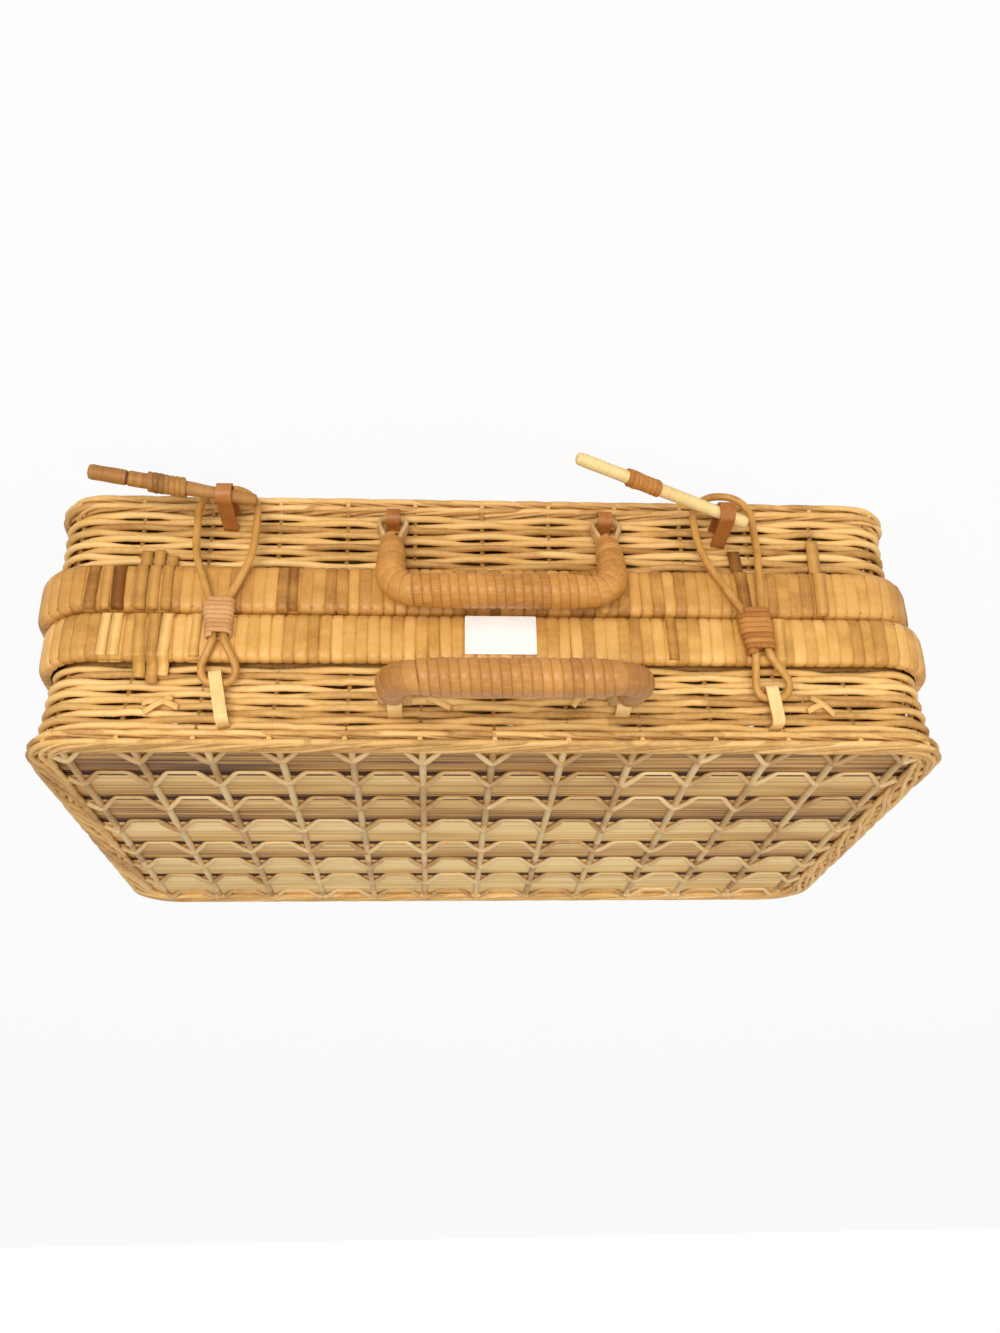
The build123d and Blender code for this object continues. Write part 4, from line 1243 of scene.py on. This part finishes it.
class PICNIC_OT_pegs(PieceOperator, bpy.types.Operator):
    """Carve both pegs and wind their bindings"""

    bl_idname = "picnic.pegs"
    bl_label = "Pegs"

    def execute(self, context):
        turns = sizes(context).binding.peg_turns
        for side_name, (tip, free, seed, stout, twist, look, binding_look, slot) in PEGS.items():
            body = f"peg_{side_name}"
            tip, free = np.array(tip) * MM, np.array(free) * MM
            reach = np.linalg.norm(tip - free)
            along = (tip - free) / reach
            across = np.cross(along, UPWARDS)
            across /= np.linalg.norm(across)
            out = np.cross(along, across)
            rng = np.random.default_rng(seed)
            distance = np.linspace(0, reach, PEG_STEPS)
            ends = np.minimum(distance, reach - distance)
            swell = np.interp(distance, np.linspace(0, reach, 14), rng.uniform(-0.00022, 0.00004, 14))
            swell += np.interp(distance / reach, [0.0, 0.5, 0.72, 1.0], [stout, stout, 0.0, 0.0])
            rounding = np.interp(ends, [0, 0.0004, 0.0012, 0.0025], [0.55, 0.82, 0.96, 1.0])
            radius = (PEG_RADIUS + swell) * rounding
            tone = np.interp(distance, np.linspace(0, reach, 9), rng.uniform(0.35, 0.8, 9))
            if look == "bark":
                notch = np.abs(distance - NOTCH) < NOTCH_REACH
                radius = np.where(notch, radius * NOTCH_SHARE, radius)
                tone = np.where(notch, NOTCH_TONE, tone)
            turn = np.linspace(0, 2 * pi, PEG_SIDES, endpoint=False)
            facet = 0.98 + 0.025 * np.cos(3 * turn + twist)
            ring = round_section(PEG_SIDES)[None] * facet[None, :, None] * radius[:, None, None]
            stick = Shells()
            stick.sweep(free + along * distance[:, None], out, across, ring, tone)
            settle(stick.piece(f"{body}_stick", finish(context, look)), body, slot, body)

            turn = np.linspace(0, 1, turns * PEG_TURN_STEPS + 1) * turns
            loose = by_turn(rng, 0.0, 0.0005, turn, turns + 1)
            tones = by_turn(rng, 0.1, 0.8, turn, turns + 1)
            outs = np.cos(turn * 2 * pi)[:, None] * across + np.sin(turn * 2 * pi)[:, None] * out
            middle = free + along * (PEG_BINDING_START + turn * PEG_BINDING_PITCH)[:, None]
            places = middle + outs * (PEG_RADIUS + stout - 0.0002 + loose)[:, None]
            bands = Shells()
            bands.sweep(places, outs, along, flat_section(PEG_BINDING_PITCH * 1.1, PEG_BAND), tones)
            piece = bands.piece(f"{body}_wound_cane", finish(context, binding_look))
            settle(piece, body, "binding_cane", f"{body}_binding")
            assign(context, f"base_staple_{side_name}", "brown strap")
        return {"FINISHED"}


# Odd strips of the rims, in millimetres: x, width, tone and the height where each ends on the wall, or None
# for one that only covers the rim
ODD_STRIPS = {
    "base": (
        (192.2, 5.4, -0.05, None), (184.8, 4.6, 0.6, None), (178.6, 6.0, -0.45, None),
        (168.0, 5.6, 0.35, 33.8), (161.6, 5.4, 0.6, 33.2), (155.4, 5.4, 0.45, 36.5),
        (-170.5, 6.4, 0.7, 23.5), (-131.5, 6.4, -0.2, 30.0), (94.0, 5.0, -0.2, None), (-60.0, 5.4, 0.9, None),
    ),
    "lid": (
        (182.5, 4.6, 1.5, None), (177.2, 5.2, 1.4, None), (166.5, 6.0, 0.3, 104.3),
        (159.6, 5.6, 0.1, 107.5), (153.0, 5.2, 1.4, 103.5), (-147.0, 6.0, 0.5, 101.5),
        (139.0, 4.8, 0.9, None), (-92.0, 5.0, -0.1, None),
    ),
}
# The short ties on the lid's wall: x, height, lean in degrees and length of each band, in millimetres
TIES = (
    (154.5, 118.9, 32.0, 15.0), (151.0, 117.9, -22.0, 13.0), (157.5, 117.4, 8.0, 9.0),
    (-164.8, 117.8, -42.0, 14.0), (-161.5, 118.6, 24.0, 10.0), (-47.0, 112.8, 52.0, 15.0),
    (-51.0, 112.4, 40.0, 13.0), (22.0, 117.5, -24.0, 12.0),
)
TIE_ARCH = 0.0014
TIE_WIDTH = 0.0031
TIE_THICKNESS = 0.0012
ODD_STRIP_THICKNESS = 0.0008
ODD_STRIP_SEED = 77


class PICNIC_OT_odd_strips(PieceOperator, bpy.types.Operator):
    """Lay the odd strips that lie over the rims and the weave, and the short ties on the lid's wall"""

    bl_idname = "picnic.odd_strips"
    bl_label = "Odd strips and ties"

    def execute(self, context):
        case = sizes(context).case
        front = HALVES[0].rim_depth / -2 + case.rim_proud
        rng = np.random.default_rng(ODD_STRIP_SEED)
        for half in HALVES:
            bands = Shells()
            for x, width, tone, end in ODD_STRIPS[half.name]:
                path = [(x * MM, y, z) for y, z in self.course(half, case, front, end)]
                places, headings, _ = rounded_path(path, [0.0009] * (len(path) - 2), 0.0006)
                places[:, 0] += (places[:, 2] - half.edge) * rng.uniform(-0.05, 0.05)
                outs = np.cross(headings, ALONG_CASE) * half.inward
                bands.sweep(places, outs, ALONG_CASE, flat_section(width * MM, ODD_STRIP_THICKNESS), tone)
            piece = bands.piece(f"{half.name}_odd_strips", finish(context, f"{half.name} rim"))
            settle(piece, half.name, "rim_cane")
        bands = Shells()
        share = np.linspace(-0.5, 0.5, 15)[:, None]
        for x, z, lean, size in TIES:
            turn = radians(lean)
            way = np.array([np.cos(turn), 0, np.sin(turn)])
            middle = np.array([x * MM, front - 0.0002, z * MM])
            places = middle + way * share * size * MM - TO_HINGES * TIE_ARCH * (1 - (2 * share) ** 2)
            side = np.cross(way, TO_HINGES)
            band = flat_section(TIE_WIDTH, TIE_THICKNESS)
            bands.sweep(places, -TO_HINGES, side, band, rng.uniform(0.2, 0.8))
        piece = bands.piece("lid_crossed_ties", finish(context, "weave"))
        settle(piece, "lid", "weave", "lid_ties")
        return {"FINISHED"}

    @staticmethod
    def course(half, case, front, end):
        """The corners of an odd strip from its foot to the parting edge, as y and height."""
        inward, out = half.inward, front - case.rim_proud - 0.0003
        height = half.rim_end + inward * 0.0004 if end is None else end * MM
        corners = [(front - 0.0004, height), (front - 0.0009, height + inward * 0.0012)]
        if end is not None:
            corners.append((front - 0.0012, half.rim_end - inward * 0.0012))
        return corners + [
            (out, half.rim_end + inward * 0.0016),
            (out - 0.0002, (half.rim_end + half.edge) / 2),
            (out, half.edge - inward * 0.0018),
            (out + 0.0024, half.edge - inward * 0.0004),
        ]


class PICNIC_OT_hinges_and_label(PieceOperator, bpy.types.Operator):
    """Finish the hinges and the bare paper label"""

    bl_idname = "picnic.hinges_and_label"
    bl_label = "Hinges and label"

    def execute(self, context):
        for side_name in ("left", "right"):
            assign(context, f"base_hinge_bow_{side_name}", "hasp")
            assign(context, f"lid_hinge_strap_{side_name}", "brown strap")
        assign(context, "rim_label", "paper")
        return {"FINISHED"}


FLOOR_REACH = 60
FLOOR_GLOW = 0.92
WHITE = (1, 1, 1, 1)
WORLD_LIGHT = 0.36
# The lamps, each turned to the middle of the case: place, size and power
LAMPS = {"key": ((0.35, -2.3, 0.85), 1.2, 38.0), "fill": ((-0.7, -0.8, 1.9), 1.5, 13.0)}
LAMP_TARGET = Vector((0, 0, 0.06))
LENS = 42.36
CAMERA_PLACE = (0.02398, -0.65331, 0.35103)
# The camera's right, up and back
CAMERA_WAYS = ((-0.99846, -0.05249, 0.01821), (0.00689, -0.44225, -0.89686), (0.05513, -0.89535, 0.44193))


class PICNIC_OT_stage(PieceOperator, bpy.types.Operator):
    """Set the floor, the light and the camera"""

    bl_idname = "picnic.stage"
    bl_label = "Stage"

    def execute(self, context):
        scene = context.scene
        scene.view_settings.view_transform = "Standard"
        corners = [(x * FLOOR_REACH, y * FLOOR_REACH, 0) for x, y in ((-1, -1), (1, -1), (1, 1), (-1, 1))]
        floor = bpy.data.objects.new("floor", mesh_of("floor", corners, (), [(0, 1, 2, 3)]))
        scene.collection.objects.link(floor)
        floor.data.materials.append(self.floor_finish())
        scene.world = self.soft_world()
        for name, (place, size, power) in LAMPS.items():
            data = bpy.data.lights.new(name, "AREA")
            data.size = size
            data.energy = power
            lamp = bpy.data.objects.new(name, data)
            scene.collection.objects.link(lamp)
            lamp.location = place
            lamp.rotation_euler = (LAMP_TARGET - Vector(place)).to_track_quat("-Z", "Y").to_euler()
        camera = bpy.data.objects.new("camera", bpy.data.cameras.new("camera"))
        scene.collection.objects.link(camera)
        camera.data.lens = LENS
        camera.data.sensor_width = 36.0
        camera.data.sensor_fit = "HORIZONTAL"
        camera.data.clip_start = 0.01
        turned = Matrix(CAMERA_WAYS).transposed()
        camera.matrix_world = Matrix.Translation(CAMERA_PLACE) @ turned.to_4x4()
        scene.camera = camera
        return {"FINISHED"}

    @staticmethod
    def floor_finish():
        """A pale floor that keeps the shadow and looks nearly white to the camera."""
        material, recipe, surface = new_finish("floor")
        surface.inputs["Base Color"].default_value = (0.9, 0.9, 0.9, 1)
        surface.inputs["Roughness"].default_value = 0.9
        seen = recipe.add("ShaderNodeLightPath", output="Is Camera Ray")
        glow = recipe.add("ShaderNodeEmission", {}, {"Color": WHITE, "Strength": 1.0})
        lit = Number(recipe, surface.outputs["BSDF"])
        mixed = recipe.add("ShaderNodeMixShader", {}, {0: seen * FLOOR_GLOW, 1: lit, 2: glow})
        output = next(node for node in recipe.tree.nodes if node.bl_idname == "ShaderNodeOutputMaterial")
        recipe.give(output.inputs["Surface"], mixed)
        return material

    @staticmethod
    def soft_world():
        """Even light, with a white backdrop where the world is seen, in a gloss or directly."""
        world = bpy.data.worlds.new("soft light")
        world.use_nodes = True
        world.node_tree.nodes.clear()
        recipe = Recipe(world.node_tree)
        rays = ("Is Camera Ray", "Is Glossy Ray", "Is Transmission Ray")
        camera, glossy, through = recipe.add("ShaderNodeLightPath", output=rays)
        light = recipe.add("ShaderNodeBackground", {}, {"Color": WHITE, "Strength": WORLD_LIGHT})
        backdrop = recipe.add("ShaderNodeBackground", {}, {"Color": WHITE, "Strength": 1.0})
        sockets = {0: recipe.limited(camera + glossy + through), 1: light, 2: backdrop}
        mixed = recipe.add("ShaderNodeMixShader", {}, sockets)
        recipe.add("ShaderNodeOutputWorld", {}, {"Surface": mixed}, output=None)
        return world


class PICNIC_PT_case(bpy.types.Panel):
    bl_label = "Picnic case"
    bl_idname = "PICNIC_PT_case"
    bl_space_type = "VIEW_3D"
    bl_region_type = "UI"
    bl_category = "Picnic case"

    def draw(self, context):
        for operator in OPERATORS:
            self.layout.operator(operator.bl_idname)
        for part, group in PARTS.items():
            box = self.layout.box()
            box.label(text=part.capitalize())
            for name in group.__annotations__:
                box.prop(getattr(sizes(context), part), name)


OPERATORS = (
    PICNIC_OT_woven_walls,
    PICNIC_OT_borders,
    PICNIC_OT_rims,
    PICNIC_OT_faces,
    PICNIC_OT_handles,
    PICNIC_OT_hasps,
    PICNIC_OT_pegs,
    PICNIC_OT_odd_strips,
    PICNIC_OT_hinges_and_label,
    PICNIC_OT_stage,
)
CLASSES = (*PARTS.values(), PicnicCase, *OPERATORS, PICNIC_PT_case)


def register():
    for each in CLASSES:
        bpy.utils.register_class(each)
    bpy.types.Scene.picnic_case = PointerProperty(type=PicnicCase)


def unregister():
    del bpy.types.Scene.picnic_case
    for each in reversed(CLASSES):
        bpy.utils.unregister_class(each)


def main():
    register()
    for operator in OPERATORS:
        family, name = operator.bl_idname.split(".")
        getattr(getattr(bpy.ops, family), name)()


if __name__ == "__main__":
    main()
